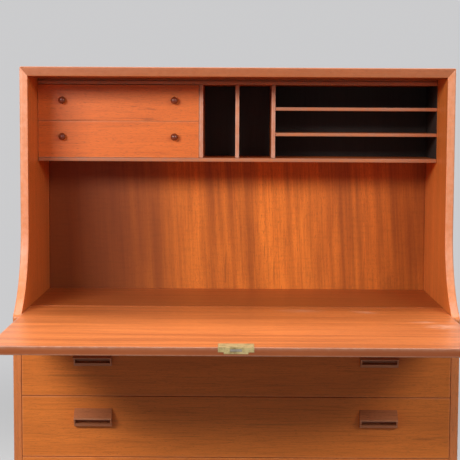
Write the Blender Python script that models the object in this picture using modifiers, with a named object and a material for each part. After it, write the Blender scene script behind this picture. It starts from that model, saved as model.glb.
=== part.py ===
"""Secretary desk: a tall teak case with swept sides, a fall flap and drawers above and below it.

Everything is in metres with +Z up. The desk faces -Y and +X is to its right.
It is modelled with the flap open. The origin is on the floor, at the middle of the box that the
desk fills in that position.
"""
from math import acos, cos, pi, sin, sqrt

import bmesh
import bpy
from mathutils import Vector

# ---- Fits ----------------------------------------------------------------------------------
TOUCH = 0.0003            # gap left between two pieces that rest on, or are set into, each other
FLAP_SIDE_GAP = 0.0010    # flap to each side
FLAP_HEEL_GAP = 0.0010    # round rear edge of the flap to the fixed board
FLAP_TOP_GAP = 0.0020     # closed flap to the underside of the top
FRONT_SIDE_GAP = 0.0012   # a drawer front to what stands beside it
FRONT_GAP = 0.0020        # between wide drawer fronts, and above and below them
BOX_SIDE_GAP = 0.0015     # a drawer box to what it slides beside
SMALL_FRONT_GAP = 0.0014  # between the small drawer fronts and the boards round them

# ---- Case ----------------------------------------------------------------------------------
CASE_WIDTH = 0.970
SIDE_THICKNESS = 0.018
TOP_THICKNESS = 0.021
BOTTOM_THICKNESS = 0.018
BACK_THICKNESS = 0.008
UPPER_DEPTH = 0.335       # upper front edges of the sides to the back of the desk
LOWER_STEP = 0.115        # how far the drawers stand in front of the upper front edges
OPENING_HEIGHT = 0.5165   # writing surface to the underside of the top
SWEEP_RADIUS = 0.202      # hollow curve that takes each side forward to the drawers
SWEEP_FOOT = 0.004        # where that curve ends, below the writing surface
SHOULDER_RADIUS = 0.012   # round corner where the curve meets the straight lower edge

# ---- Stand ---------------------------------------------------------------------------------
LEG_HEIGHT = 0.228
LEG_TOP_RADIUS = 0.019
LEG_FOOT_RADIUS = 0.011
LEG_TENON_RADIUS = 0.010
LEG_TENON_LENGTH = 0.016
LEG_INSET_X = 0.065
LEG_INSET_FRONT = 0.062
LEG_INSET_BACK = 0.055
LEG_RAIL_THICKNESS = 0.022
LEG_RAIL_WIDTH = 0.050
LEG_RAIL_OVERHANG = 0.035

# ---- Writing level -------------------------------------------------------------------------
FLAP_THICKNESS = 0.017
LEDGE_THICKNESS = 0.012
LEDGE_REACH = 0.060       # how far the ledge runs behind the upper front edges, under the fixed board
FRONT_RAIL_HEIGHT = 0.028
FRONT_RAIL_DEPTH = 0.030

# ---- Pivots and lock -----------------------------------------------------------------------
PIN_RADIUS = 0.0035
PIN_LENGTH = 0.010
PIVOT_PLATE_LENGTH = 0.050
PIVOT_PLATE_HEIGHT = 0.011
PIVOT_PLATE_THICKNESS = 0.0025
PIVOT_PLATE_TAIL = 0.0055  # from the pin to the near end of its plate
LOCK_PLATE_WIDTH = 0.068
LOCK_PLATE_DEPTH = 0.044
LOCK_SHEET = 0.0016
LOCK_SELVEDGE_HEIGHT = 0.009
LOCK_BODY_WIDTH = 0.046
LOCK_BODY_DEPTH = 0.034
LOCK_BODY_HEIGHT = 0.0125
BOLT_WIDTH = 0.022
BOLT_THICKNESS = 0.0045
BOLT_LENGTH = 0.022
BOLT_DROP = 0.0055        # bolt's middle below the flap's inner face
KEY_DEPTH = 0.024         # keyhole to the flap's front edge
KEYHOLE_RADIUS = 0.0022
ESCUTCHEON_RADIUS = 0.011
ESCUTCHEON_THICKNESS = 0.0014
KEEPER_WIDTH = 0.050
KEEPER_DEPTH = 0.013
KEEPER_THICKNESS = 0.0015
KEEPER_PLAY = 0.0010      # round the bolt where it enters the keeper
KEEPER_MORTISE = 0.0125

# ---- Pigeonhole unit -----------------------------------------------------------------------
UNIT_SETBACK = 0.149      # front of the unit behind the upper front edges
UNIT_DROP = 0.005         # air between the unit and the top
UNIT_BOARD = 0.009
UNIT_INNER_HEIGHT = 0.1707
SLOT_WIDTH = 0.0755
SHELF_THICKNESS = 0.008
DRAWER_SHELF_THICKNESS = 0.005

# ---- Small drawers -------------------------------------------------------------------------
SMALL_FRONT_THICKNESS = 0.010
SMALL_WALL = 0.006
SMALL_FLOOR = 0.004
SMALL_HEADROOM = 0.006    # top of a small drawer's box below what is over it
SMALL_REAR_SPACE = 0.007
KNOB_RADIUS = 0.0085
KNOB_LENGTH = 0.017
KNOB_FROM_MIDDLE = 0.131
KNOB_DROP = 0.036         # knob below the top edge of its front

# ---- Wide drawers --------------------------------------------------------------------------
DRAWER_HEIGHTS = (0.131, 0.133, 0.135)  # fronts, top drawer first
DRAWER_FRONT_THICKNESS = 0.020
DRAWER_WALL = 0.012
DRAWER_FLOOR = 0.006
DRAWER_FLOOR_RAISE = 0.008   # floor panel above the lower edge of the drawer's sides
DRAWER_GROOVE = 0.005
DRAWER_BOX_RAISE = 0.014     # drawer sides above the lower edge of the front
DRAWER_BOX_DROP = 0.018      # drawer sides below the upper edge of the front
DRAWER_REAR_SPACE = 0.027
DRAWER_ARRIS = 0.0010
RUNNER_WIDTH = 0.016
RUNNER_HEIGHT = 0.010
RUNNER_REAR_SPACE = 0.040
PULL_WIDTH = 0.082
PULL_HEIGHT = 0.038
PULL_REACH = 0.020
PULL_DROP = 0.045            # pull's middle below the upper edge of its front
PULL_FROM_MIDDLE = 0.3105
PULL_CHEEK = 0.005
PULL_NOSE = 0.0025           # thickness of the hood's front edge
PULL_LIP_HEIGHT = 0.008
PULL_LIP_REACH = 0.009
PULL_BACK = 0.003
PULL_HOOD = 0.005            # thickness of the hood's sloping wall
PULL_NOSE_LEVEL = -0.002     # underside of the hood's nose, from the pull's middle

SMOOTH_STEPS = 24
SWEEP_STEPS = 14
CORNER_STEPS = 4

# ---- Levels and planes that follow from the sizes --------------------------------------------
HALF_WIDTH = CASE_WIDTH / 2
INNER_HALF = HALF_WIDTH - SIDE_THICKNESS
CASE_BASE_Z = LEG_HEIGHT + LEG_RAIL_THICKNESS
BOTTOM_TOP_Z = CASE_BASE_Z + BOTTOM_THICKNESS
STACK_HEIGHT = sum(DRAWER_HEIGHTS) + FRONT_GAP * (len(DRAWER_HEIGHTS) + 1)
FRONT_RAIL_Z = BOTTOM_TOP_Z + STACK_HEIGHT
LEDGE_TOP_Z = FRONT_RAIL_Z + FRONT_RAIL_HEIGHT
FLAP_UNDER_Z = LEDGE_TOP_Z + TOUCH
SURFACE_Z = FLAP_UNDER_Z + FLAP_THICKNESS
TOP_UNDER_Z = SURFACE_Z + OPENING_HEIGHT
TOP_Z = TOP_UNDER_Z + TOP_THICKNESS
HEEL_RADIUS = FLAP_THICKNESS / 2
FLAP_REACH = OPENING_HEIGHT - FLAP_TOP_GAP
UPPER_FRONT_Y = (FLAP_REACH - UPPER_DEPTH) / 2
BACK_Y = UPPER_FRONT_Y + UPPER_DEPTH
BACK_FACE_Y = BACK_Y - BACK_THICKNESS
LOWER_FRONT_Y = UPPER_FRONT_Y - LOWER_STEP
FLAP_EDGE_Y = UPPER_FRONT_Y - FLAP_REACH
PIVOT_Y = UPPER_FRONT_Y + HEEL_RADIUS
PIVOT_Z = SURFACE_Z - HEEL_RADIUS
FIXED_BOARD_Y = PIVOT_Y + HEEL_RADIUS + FLAP_HEEL_GAP
FLAP_HALF = INNER_HALF - FLAP_SIDE_GAP
UNIT_FRONT_Y = UPPER_FRONT_Y + UNIT_SETBACK
UNIT_TOP_Z = TOP_UNDER_Z - UNIT_DROP
UNIT_CEILING_Z = UNIT_TOP_Z - UNIT_BOARD
UNIT_FLOOR_Z = UNIT_CEILING_Z - UNIT_INNER_HEIGHT
DIVIDER_STEP = SLOT_WIDTH + UNIT_BOARD
KEEPER_Y = PIVOT_Y + HEEL_RADIUS - BOLT_DROP  # where the bolt stands when the flap is closed


def clear_scene():
    """Start from an empty file."""
    for item in list(bpy.data.objects):
        bpy.data.objects.remove(item, do_unlink=True)


def make_collection(name):
    """Return a new collection linked to the scene."""
    group = bpy.data.collections.new(name)
    bpy.context.scene.collection.children.link(group)
    return group


def make_material(name, colour, roughness, metallic=0.0):
    """Return a Principled material."""
    made = bpy.data.materials.new(name)
    made.use_nodes = True
    shader = made.node_tree.nodes["Principled BSDF"]
    shader.inputs["Base Color"].default_value = (*colour, 1.0)
    shader.inputs["Roughness"].default_value = roughness
    shader.inputs["Metallic"].default_value = metallic
    return made


clear_scene()
DESK = make_collection("secretary_desk")
CUTTERS = make_collection("cutters")
TEAK = make_material("teak", (0.58, 0.24, 0.085), 0.38)
TEAK_DARK = make_material("dark_teak", (0.30, 0.11, 0.045), 0.34)
TEAK_VENEER = make_material("ribbon_veneer", (0.44, 0.17, 0.055), 0.42)
BEECH = make_material("drawer_wood", (0.66, 0.47, 0.29), 0.55)
PLYWOOD = make_material("plywood", (0.60, 0.42, 0.25), 0.62)
BRASS = make_material("brass", (0.76, 0.58, 0.27), 0.30, 1.0)
STEEL = make_material("steel", (0.56, 0.56, 0.55), 0.35, 1.0)


# ---- Making and placing ----------------------------------------------------------------------
def add_object(name, mesh, material, place):
    """Put a mesh in the scene as a named sub-part, or as a cutter if it has no material."""
    item = bpy.data.objects.new(name, mesh)
    item.location = place
    if material is None:
        CUTTERS.objects.link(item)
        item.hide_render = True
        item.display_type = "WIRE"
    else:
        mesh.materials.append(material)
        DESK.objects.link(item)
    return item


def add_axis(name, place):
    """An empty on a joint's axis, which the pieces that move with the joint are parented to."""
    empty = bpy.data.objects.new(name, None)
    empty.location = place
    DESK.objects.link(empty)
    return empty


def attach(items, axis):
    """Parent pieces, with the tools that cut them, to a joint's empty without moving them."""
    for item in items:
        tools = [change.object for change in item.modifiers if change.type == "BOOLEAN"]
        for moved in [item] + tools:
            if moved.parent is None:
                moved.parent = axis
                moved.location = moved.location - axis.location


def box(name, low, high, material=None, arris=0.0):
    """A board or block between two corners, with its sharp edges taken off if arris is given."""
    low = Vector(low)
    high = Vector(high)
    mesh = bpy.data.meshes.new(name)
    work = bmesh.new()
    bmesh.ops.create_cube(work, size=1.0)
    bmesh.ops.scale(work, vec=high - low, verts=work.verts)
    work.to_mesh(mesh)
    work.free()
    item = add_object(name, mesh, material, (low + high) / 2)
    if arris:
        soften(item, arris)
    return item


def soften(item, width):
    """Take the sharp edges off a piece with a one-segment bevel."""
    bevel = item.modifiers.new("arris", "BEVEL")
    bevel.width = width
    bevel.segments = 1
    bevel.limit_method = "ANGLE"
    bevel.angle_limit = pi / 4


def cylinder(name, radius, start, end, material=None, sides=SMOOTH_STEPS):
    """A round bar from one point to another."""
    start = Vector(start)
    end = Vector(end)
    mesh = bpy.data.meshes.new(name)
    work = bmesh.new()
    bmesh.ops.create_cone(
        work, cap_ends=True, segments=sides, radius1=radius, radius2=radius, depth=(end - start).length
    )
    turn = Vector((0, 0, 1)).rotation_difference(end - start).to_matrix()
    bmesh.ops.rotate(work, matrix=turn, verts=work.verts)
    work.to_mesh(mesh)
    work.free()
    return add_object(name, mesh, material, (start + end) / 2)


def turned(name, profile, place, material, rotation=(0, 0, 0)):
    """A piece turned on the lathe: (radius, height) points from the top down, spun about Z."""
    mesh = bpy.data.meshes.new(name)
    points = [(radius, 0.0, height) for radius, height in profile]
    edges = [(n, n + 1) for n in range(len(points) - 1)]
    mesh.from_pydata(points, edges, [])
    item = add_object(name, mesh, material, place)
    item.rotation_euler = rotation
    spin = item.modifiers.new("lathe", "SCREW")
    spin.steps = SMOOTH_STEPS
    spin.render_steps = SMOOTH_STEPS
    spin.use_merge_vertices = True
    spin.merge_threshold = 0.00001
    spin.use_smooth_shade = True
    return item


def outline(name, points, thickness, place, rotation, material=None):
    """A flat outline with a thickness, made from a closed curve and welded into a mesh."""
    curve = bpy.data.curves.new(name, "CURVE")
    curve.dimensions = "2D"
    curve.fill_mode = "BOTH"
    curve.extrude = thickness / 2
    spline = curve.splines.new("POLY")
    spline.points.add(len(points) - 1)
    for point, (x, y) in zip(spline.points, points):
        point.co = (x, y, 0.0, 1.0)
    spline.use_cyclic_u = True
    drawn = bpy.data.objects.new(name + "_outline", curve)
    drawn.location = place
    drawn.rotation_euler = rotation
    DESK.objects.link(drawn)
    bpy.context.view_layer.update()
    evaluated = drawn.evaluated_get(bpy.context.evaluated_depsgraph_get())
    mesh = bpy.data.meshes.new_from_object(evaluated)
    mesh.name = name
    mesh.materials.clear()
    weld_faces(mesh)
    bpy.data.objects.remove(drawn, do_unlink=True)
    item = add_object(name, mesh, material, place)
    item.rotation_euler = rotation
    return item


def weld_faces(mesh):
    """Join a mesh's loose caps to its walls and turn every face outwards."""
    work = bmesh.new()
    work.from_mesh(mesh)
    bmesh.ops.remove_doubles(work, verts=work.verts, dist=0.00001)
    bmesh.ops.recalc_face_normals(work, faces=work.faces)
    work.to_mesh(mesh)
    work.free()


def cut(item, tool, operation="DIFFERENCE"):
    """Cut a piece with a tool, or join the tool to it."""
    change = item.modifiers.new(tool.name, "BOOLEAN")
    change.operation = operation
    change.solver = "EXACT"
    change.object = tool


def bisect(item, point, normal):
    """Saw off what lies beyond a plane and close the cut."""
    bpy.context.view_layer.update()
    work = bmesh.new()
    work.from_mesh(item.data)
    inverse = item.matrix_world.inverted()
    spot = inverse @ Vector(point)
    facing = inverse.to_3x3() @ Vector(normal)
    pieces = work.verts[:] + work.edges[:] + work.faces[:]
    result = bmesh.ops.bisect_plane(
        work, geom=pieces, plane_co=spot, plane_no=facing, clear_outer=True, dist=0.000001
    )
    rim = [part for part in result["geom_cut"] if isinstance(part, bmesh.types.BMEdge)]
    bmesh.ops.edgeloop_fill(work, edges=rim)
    bmesh.ops.recalc_face_normals(work, faces=work.faces)
    work.to_mesh(item.data)
    work.free()


def arc(centre, radius, start, end, steps):
    """Points along a circle's arc, from one angle to another, both ends included."""
    angles = [start + (end - start) * n / steps for n in range(steps + 1)]
    return [(centre[0] + radius * cos(a), centre[1] + radius * sin(a)) for a in angles]


SIDE_VIEW = (pi / 2, 0, pi / 2)   # outline drawn in Y and Z, thickness along X
FRONT_VIEW = (pi / 2, 0, 0)       # outline drawn in X and Z, thickness along Y
PLAN_VIEW = (0, 0, 0)             # outline drawn in X and Y, thickness along Z


# ---- Case ------------------------------------------------------------------------------------
def side_profile():
    """Front edge of a side from the foot of the case up, as (Y, Z) points.

    The straight lower edge turns over a small shoulder into a hollow quarter curve, which meets
    the straight upper edge without a kink.
    """
    rise = sqrt(SWEEP_RADIUS ** 2 - (SWEEP_RADIUS - LOWER_STEP) ** 2)
    hollow = (UPPER_FRONT_Y - SWEEP_RADIUS, SURFACE_Z - SWEEP_FOOT + rise)
    # The shoulder's circle lies inside the side and touches both the lower edge and the hollow.
    reach = SWEEP_RADIUS + SHOULDER_RADIUS
    shoulder_y = LOWER_FRONT_Y + SHOULDER_RADIUS
    across = shoulder_y - hollow[0]
    shoulder = (shoulder_y, hollow[1] - sqrt(reach ** 2 - across ** 2))
    meet = -acos(across / reach)
    rounding = arc(shoulder, SHOULDER_RADIUS, pi, pi + meet, CORNER_STEPS)
    sweep = arc(hollow, SWEEP_RADIUS, meet, 0.0, SWEEP_STEPS)
    return rounding + sweep[1:]


def make_side(name, sign):
    """A swept side with a mitred upper end and a blind hole for the flap's pin."""
    points = [(BACK_Y, CASE_BASE_Z), (LOWER_FRONT_Y, CASE_BASE_Z)]
    points += side_profile()
    points += [(UPPER_FRONT_Y, TOP_Z), (BACK_Y, TOP_Z)]
    middle = sign * (HALF_WIDTH - SIDE_THICKNESS / 2)
    side = outline(name, points, SIDE_THICKNESS, (middle, 0, 0), SIDE_VIEW, TEAK)
    slope = Vector((-sign * TOP_THICKNESS, 0, SIDE_THICKNESS))
    corner = Vector((sign * HALF_WIDTH, 0, TOP_Z)) - slope.normalized() * TOUCH / 2
    bisect(side, corner, slope)
    inner = sign * INNER_HALF
    hole_end = inner + sign * (PIN_LENGTH - FLAP_SIDE_GAP + TOUCH)
    hole = cylinder(
        name + "_pin_hole", PIN_RADIUS + TOUCH,
        (inner - sign * FLAP_SIDE_GAP, PIVOT_Y, PIVOT_Z), (hole_end, PIVOT_Y, PIVOT_Z),
    )
    cut(side, hole)
    return side


def make_top():
    """The top, mitred to the sides, with a housing for the lock's keeper under its front edge."""
    points = [
        (-HALF_WIDTH + TOUCH, TOP_Z), (HALF_WIDTH - TOUCH, TOP_Z),
        (INNER_HALF - TOUCH, TOP_UNDER_Z), (-INNER_HALF + TOUCH, TOP_UNDER_Z),
    ]
    middle_y = (UPPER_FRONT_Y + BACK_Y) / 2
    top = outline("top_board", points, UPPER_DEPTH, (0, middle_y, 0), FRONT_VIEW, TEAK)
    half = KEEPER_WIDTH / 2 + TOUCH
    depth = KEEPER_DEPTH / 2 + TOUCH
    seat = box(
        "keeper_seat", (-half, KEEPER_Y - depth, TOP_UNDER_Z - KEEPER_THICKNESS),
        (half, KEEPER_Y + depth, TOP_UNDER_Z + KEEPER_THICKNESS + TOUCH),
    )
    half = BOLT_WIDTH / 2 + KEEPER_PLAY
    depth = BOLT_THICKNESS / 2 + KEEPER_PLAY
    mortise = box(
        "keeper_mortise", (-half, KEEPER_Y - depth, TOP_UNDER_Z - KEEPER_THICKNESS),
        (half, KEEPER_Y + depth, TOP_UNDER_Z + KEEPER_MORTISE),
    )
    cut(top, seat)
    cut(top, mortise)
    keeper = box(
        "keeper_plate", (-KEEPER_WIDTH / 2, KEEPER_Y - KEEPER_DEPTH / 2, TOP_UNDER_Z),
        (KEEPER_WIDTH / 2, KEEPER_Y + KEEPER_DEPTH / 2, TOP_UNDER_Z + KEEPER_THICKNESS), BRASS,
    )
    cut(keeper, mortise)


def make_case():
    """Sides, top, bottom, backs, fixed writing board, ledge and front rail."""
    make_side("side_left", -1)
    make_side("side_right", 1)
    make_top()
    half = INNER_HALF - TOUCH
    board_under_z = SURFACE_Z - FLAP_THICKNESS
    box("bottom_board", (-half, LOWER_FRONT_Y, CASE_BASE_Z), (half, BACK_FACE_Y - TOUCH, BOTTOM_TOP_Z), TEAK)
    box("desk_board", (-half, FIXED_BOARD_Y, board_under_z), (half, BACK_FACE_Y - TOUCH, SURFACE_Z), TEAK)
    box("upper_back", (-half, BACK_FACE_Y, board_under_z), (half, BACK_Y, TOP_UNDER_Z - TOUCH), TEAK_VENEER)
    box("lower_back", (-half, BACK_FACE_Y, CASE_BASE_Z), (half, BACK_Y, board_under_z - TOUCH), PLYWOOD)
    rail_back = LOWER_FRONT_Y + FRONT_RAIL_DEPTH
    box("front_rail", (-half, LOWER_FRONT_Y, FRONT_RAIL_Z), (half, rail_back, LEDGE_TOP_Z), TEAK)
    box(
        "ledge_board", (-half, rail_back + TOUCH, LEDGE_TOP_Z - LEDGE_THICKNESS),
        (half, UPPER_FRONT_Y + LEDGE_REACH, LEDGE_TOP_Z), TEAK,
    )


def make_stand():
    """Two rails under the case, each with a turned and tapered leg dowelled in at both ends."""
    front_y = LOWER_FRONT_Y + LEG_INSET_FRONT
    back_y = BACK_Y - LEG_INSET_BACK
    shoulder_z = LEG_HEIGHT - TOUCH
    profile = [
        (0.0, shoulder_z + LEG_TENON_LENGTH), (LEG_TENON_RADIUS, shoulder_z + LEG_TENON_LENGTH),
        (LEG_TENON_RADIUS, shoulder_z), (LEG_TOP_RADIUS - 0.001, shoulder_z),
        (LEG_TOP_RADIUS, shoulder_z - 0.001), (LEG_FOOT_RADIUS, 0.001), (LEG_FOOT_RADIUS - 0.001, 0.0),
        (0.0, 0.0),
    ]
    for side, sign in (("left", -1), ("right", 1)):
        x = sign * (HALF_WIDTH - LEG_INSET_X)
        rail = box(
            "leg_rail_" + side,
            (x - LEG_RAIL_WIDTH / 2, front_y - LEG_RAIL_OVERHANG, LEG_HEIGHT),
            (x + LEG_RAIL_WIDTH / 2, back_y + LEG_RAIL_OVERHANG, CASE_BASE_Z - TOUCH), TEAK,
        )
        for end, y in (("front", front_y), ("back", back_y)):
            turned("leg_{}_{}".format(end, side), profile, (x, y, 0), TEAK)
            socket = cylinder(
                "socket_{}_{}".format(end, side), LEG_TENON_RADIUS + TOUCH,
                (x, y, LEG_HEIGHT - 0.01), (x, y, LEG_HEIGHT + LEG_TENON_LENGTH + TOUCH),
            )
            cut(rail, socket)


# ---- Flap, its pivots and its lock -----------------------------------------------------------
def make_flap():
    """The flap, rounded along its heel about the pivots, with housings for its metalwork."""
    heel = arc((PIVOT_Y, PIVOT_Z), HEEL_RADIUS, pi / 2, -pi / 2, 10)
    points = [(FLAP_EDGE_Y, SURFACE_Z)] + heel + [(FLAP_EDGE_Y, FLAP_UNDER_Z)]
    flap = outline("flap", points, 2 * FLAP_HALF, (0, 0, 0), SIDE_VIEW, TEAK)
    axis = add_axis("flap_axis", (0, PIVOT_Y, PIVOT_Z))
    pieces = [flap]
    for side, sign in (("left", -1), ("right", 1)):
        pieces.append(make_pivot(flap, side, sign))
    lock = make_lock(flap)
    attach(pieces + lock, axis)
    bolt_z = SURFACE_Z - BOLT_DROP
    bolt_front_y = FLAP_EDGE_Y + TOUCH
    bolt = box(
        "lock_bolt", (-BOLT_WIDTH / 2, bolt_front_y, bolt_z - BOLT_THICKNESS / 2),
        (BOLT_WIDTH / 2, bolt_front_y + BOLT_LENGTH, bolt_z + BOLT_THICKNESS / 2), STEEL,
    )
    bolt_axis = add_axis("lock_bolt_axis", (0, bolt_front_y, bolt_z))
    attach([bolt], bolt_axis)
    attach([bolt_axis], axis)


def make_pivot(flap, side, sign):
    """A plate let into the end of the flap, with the pin that turns in the case side."""
    end_x = sign * FLAP_HALF
    low_y = PIVOT_Y - PIVOT_PLATE_LENGTH + PIVOT_PLATE_TAIL
    high_y = PIVOT_Y + PIVOT_PLATE_TAIL
    half = PIVOT_PLATE_HEIGHT / 2
    inner_x = end_x - sign * PIVOT_PLATE_THICKNESS
    xs = sorted((inner_x, end_x))
    plate = box("pivot_" + side, (xs[0], low_y, PIVOT_Z - half), (xs[1], high_y, PIVOT_Z + half), BRASS)
    xs = sorted((inner_x - sign * TOUCH, end_x + sign * TOUCH))
    seat = box(
        "pivot_seat_" + side, (xs[0], low_y - TOUCH, PIVOT_Z - half - TOUCH),
        (xs[1], high_y + TOUCH, PIVOT_Z + half + TOUCH),
    )
    cut(flap, seat)
    pin = cylinder(
        "pin_" + side, PIN_RADIUS, (inner_x + sign * TOUCH, PIVOT_Y, PIVOT_Z),
        (end_x + sign * PIN_LENGTH, PIVOT_Y, PIVOT_Z),
    )
    cut(plate, pin, "UNION")
    return plate


def lock_block(name, width, depth, height, grow, material=None):
    """A block of the lock, let in from the flap's inner face and front edge, grown by a clearance."""
    proud = 3 * grow
    return box(
        name, (-width / 2 - grow, FLAP_EDGE_Y - proud, SURFACE_Z - height - grow),
        (width / 2 + grow, FLAP_EDGE_Y + depth + grow, SURFACE_Z + proud), material,
    )


def make_lock(flap):
    """The lock let into the flap's inner face and front edge, and the keyhole plate outside."""
    blocks = (
        ("works", LOCK_BODY_WIDTH, LOCK_BODY_DEPTH, LOCK_BODY_HEIGHT),
        ("plate", LOCK_PLATE_WIDTH, LOCK_PLATE_DEPTH, LOCK_SHEET),
        ("strip", LOCK_PLATE_WIDTH, LOCK_SHEET, LOCK_SELVEDGE_HEIGHT),
    )
    for name, *sizes in blocks:
        cut(flap, lock_block("lock_housing_" + name, *sizes, TOUCH))
    case = lock_block("lock_case", *blocks[0][1:], 0.0, BRASS)
    for name, *sizes in blocks[1:]:
        cut(case, lock_block("lock_" + name, *sizes, 0.0), "UNION")
    bolt_z = SURFACE_Z - BOLT_DROP
    half = BOLT_WIDTH / 2 + TOUCH
    tall = BOLT_THICKNESS / 2 + TOUCH
    channel = box(
        "bolt_channel", (-half, FLAP_EDGE_Y - LOCK_SHEET, bolt_z - tall),
        (half, FLAP_EDGE_Y + BOLT_LENGTH + 2 * TOUCH, bolt_z + tall),
    )
    cut(case, channel)
    key_y = FLAP_EDGE_Y + KEY_DEPTH
    plate_under_z = FLAP_UNDER_Z - TOUCH - ESCUTCHEON_THICKNESS
    escutcheon = cylinder(
        "key_escutcheon", ESCUTCHEON_RADIUS, (0, key_y, plate_under_z),
        (0, key_y, FLAP_UNDER_Z - TOUCH), BRASS,
    )
    keyhole = cylinder(
        "keyhole", KEYHOLE_RADIUS, (0, key_y, plate_under_z - 0.001),
        (0, key_y, SURFACE_Z - LOCK_BODY_HEIGHT), None, 16,
    )
    cut(escutcheon, keyhole)
    cut(flap, keyhole)
    return [case, escutcheon]


# ---- Pigeonhole unit ---------------------------------------------------------------------------
def make_unit():
    """Boards of the unit under the top: drawers on the left, two slots, shelves on the right."""
    half = INNER_HALF - TOUCH
    back = BACK_FACE_Y - TOUCH
    box("unit_top", (-half, UNIT_FRONT_Y, UNIT_CEILING_Z), (half, back, UNIT_TOP_Z), TEAK)
    box("unit_bottom", (-half, UNIT_FRONT_Y, UNIT_FLOOR_Z - UNIT_BOARD), (half, back, UNIT_FLOOR_Z), TEAK)
    low_z = UNIT_FLOOR_Z + TOUCH
    high_z = UNIT_CEILING_Z - TOUCH
    for name, step in (("left", -1), ("middle", 0), ("right", 1)):
        x = step * DIVIDER_STEP
        box(
            "divider_" + name, (x - UNIT_BOARD / 2, UNIT_FRONT_Y, low_z),
            (x + UNIT_BOARD / 2, back, high_z), TEAK,
        )
    shelf_left = DIVIDER_STEP + UNIT_BOARD / 2 + TOUCH
    space = (UNIT_INNER_HEIGHT - 2 * SHELF_THICKNESS) / 3
    for name, level in (("lower", 1), ("upper", 2)):
        z = UNIT_FLOOR_Z + level * space + (level - 1) * SHELF_THICKNESS
        box("shelf_" + name, (shelf_left, UNIT_FRONT_Y, z), (half, back, z + SHELF_THICKNESS), TEAK)
    middle_z = UNIT_FLOOR_Z + UNIT_INNER_HEIGHT / 2
    box(
        "drawer_shelf", (-half, UNIT_FRONT_Y + SMALL_FRONT_THICKNESS + BOX_SIDE_GAP,
                         middle_z - DRAWER_SHELF_THICKNESS / 2),
        (-shelf_left, back, middle_z + DRAWER_SHELF_THICKNESS / 2), PLYWOOD,
    )


def knob_profile():
    """A turned knob: a dished button on a waisted neck, from its face down to its foot."""
    dome = arc((0.0, 0.0), 1.0, pi / 2, 0.0, 6)
    face = [(x * KNOB_RADIUS, KNOB_LENGTH - 0.0035 + y * 0.0035) for x, y in dome]
    face[0] = (0.0, KNOB_LENGTH)
    neck = [
        (KNOB_RADIUS * 0.97, KNOB_LENGTH - 0.0055), (KNOB_RADIUS * 0.80, KNOB_LENGTH - 0.0080),
        (KNOB_RADIUS * 0.55, KNOB_LENGTH - 0.0110), (KNOB_RADIUS * 0.50, 0.0035),
        (KNOB_RADIUS * 0.56, 0.0), (0.0, 0.0),
    ]
    return face + neck


def make_small_drawer(number, low_z, high_z, floor_z, ceiling_z):
    """A small drawer: front, one-piece box and two knobs."""
    name = "small_drawer_{}".format(number)
    left = -INNER_HALF
    right = -DIVIDER_STEP - UNIT_BOARD / 2
    middle_x = (left + right) / 2
    front_back_y = UNIT_FRONT_Y + SMALL_FRONT_THICKNESS
    axis = add_axis(name + "_axis", (middle_x, UNIT_FRONT_Y, (low_z + high_z) / 2))
    front = box(
        name + "_front", (left + FRONT_SIDE_GAP, UNIT_FRONT_Y, low_z),
        (right - FRONT_SIDE_GAP, front_back_y, high_z), TEAK, DRAWER_ARRIS / 2,
    )
    box_low = (left + BOX_SIDE_GAP, front_back_y + TOUCH, floor_z)
    box_high = (right - BOX_SIDE_GAP, BACK_FACE_Y - SMALL_REAR_SPACE, ceiling_z)
    tray = box(name + "_box", box_low, box_high, BEECH)
    hollow = box(
        name + "_hollow", (box_low[0] + SMALL_WALL, box_low[1] + SMALL_WALL, floor_z + SMALL_FLOOR),
        (box_high[0] - SMALL_WALL, box_high[1] - SMALL_WALL, ceiling_z + SMALL_FLOOR),
    )
    cut(tray, hollow)
    pieces = [front, tray]
    for side, sign in (("left", -1), ("right", 1)):
        place = (middle_x + sign * KNOB_FROM_MIDDLE, UNIT_FRONT_Y - TOUCH, high_z - KNOB_DROP)
        knob_name = "{}_knob_{}".format(name, side)
        pieces.append(turned(knob_name, knob_profile(), place, TEAK_DARK, (pi / 2, 0, 0)))
    attach(pieces, axis)


def make_small_drawers():
    """The two small drawers, one on the thin shelf and one on the unit's lower board."""
    middle_z = UNIT_FLOOR_Z + UNIT_INNER_HEIGHT / 2
    half_gap = SMALL_FRONT_GAP / 2
    shelf_half = DRAWER_SHELF_THICKNESS / 2
    make_small_drawer(
        1, middle_z + half_gap, UNIT_CEILING_Z - SMALL_FRONT_GAP,
        middle_z + shelf_half + TOUCH, UNIT_CEILING_Z - SMALL_HEADROOM,
    )
    make_small_drawer(
        2, UNIT_FLOOR_Z + half_gap, middle_z - half_gap,
        UNIT_FLOOR_Z + TOUCH, middle_z - shelf_half - SMALL_HEADROOM,
    )


# ---- Wide drawers ------------------------------------------------------------------------------
def make_pull(name, x, z):
    """A carved wooden pull: a sloping hood over a finger hollow, closed by cheeks and a low lip."""
    foot = -PULL_HEIGHT / 2
    head = PULL_HEIGHT / 2
    nose = PULL_NOSE_LEVEL
    y = LOWER_FRONT_Y - TOUCH
    outside = [
        (0.0, head), (-PULL_REACH, nose + PULL_NOSE), (-PULL_REACH, nose),
        (-PULL_LIP_REACH, foot), (0.0, foot),
    ]
    pull = outline(name, outside, PULL_WIDTH, (x, y, z), SIDE_VIEW, TEAK_DARK)
    slope = (head - nose - PULL_NOSE) / PULL_REACH
    lip_top = foot + PULL_LIP_HEIGHT
    inner_front = -PULL_REACH + PULL_HOOD
    inside = [
        (-PULL_BACK, lip_top), (-PULL_BACK, head - PULL_HOOD * slope - PULL_BACK * slope),
        (inner_front, nose + PULL_NOSE / 2), (inner_front, nose),
        (-PULL_REACH * 1.5, nose), (-PULL_REACH * 1.5, lip_top),
    ]
    hollow = outline(name + "_hollow", inside, PULL_WIDTH - 2 * PULL_CHEEK, (x, y, z), SIDE_VIEW)
    cut(pull, hollow)
    return pull


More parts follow.
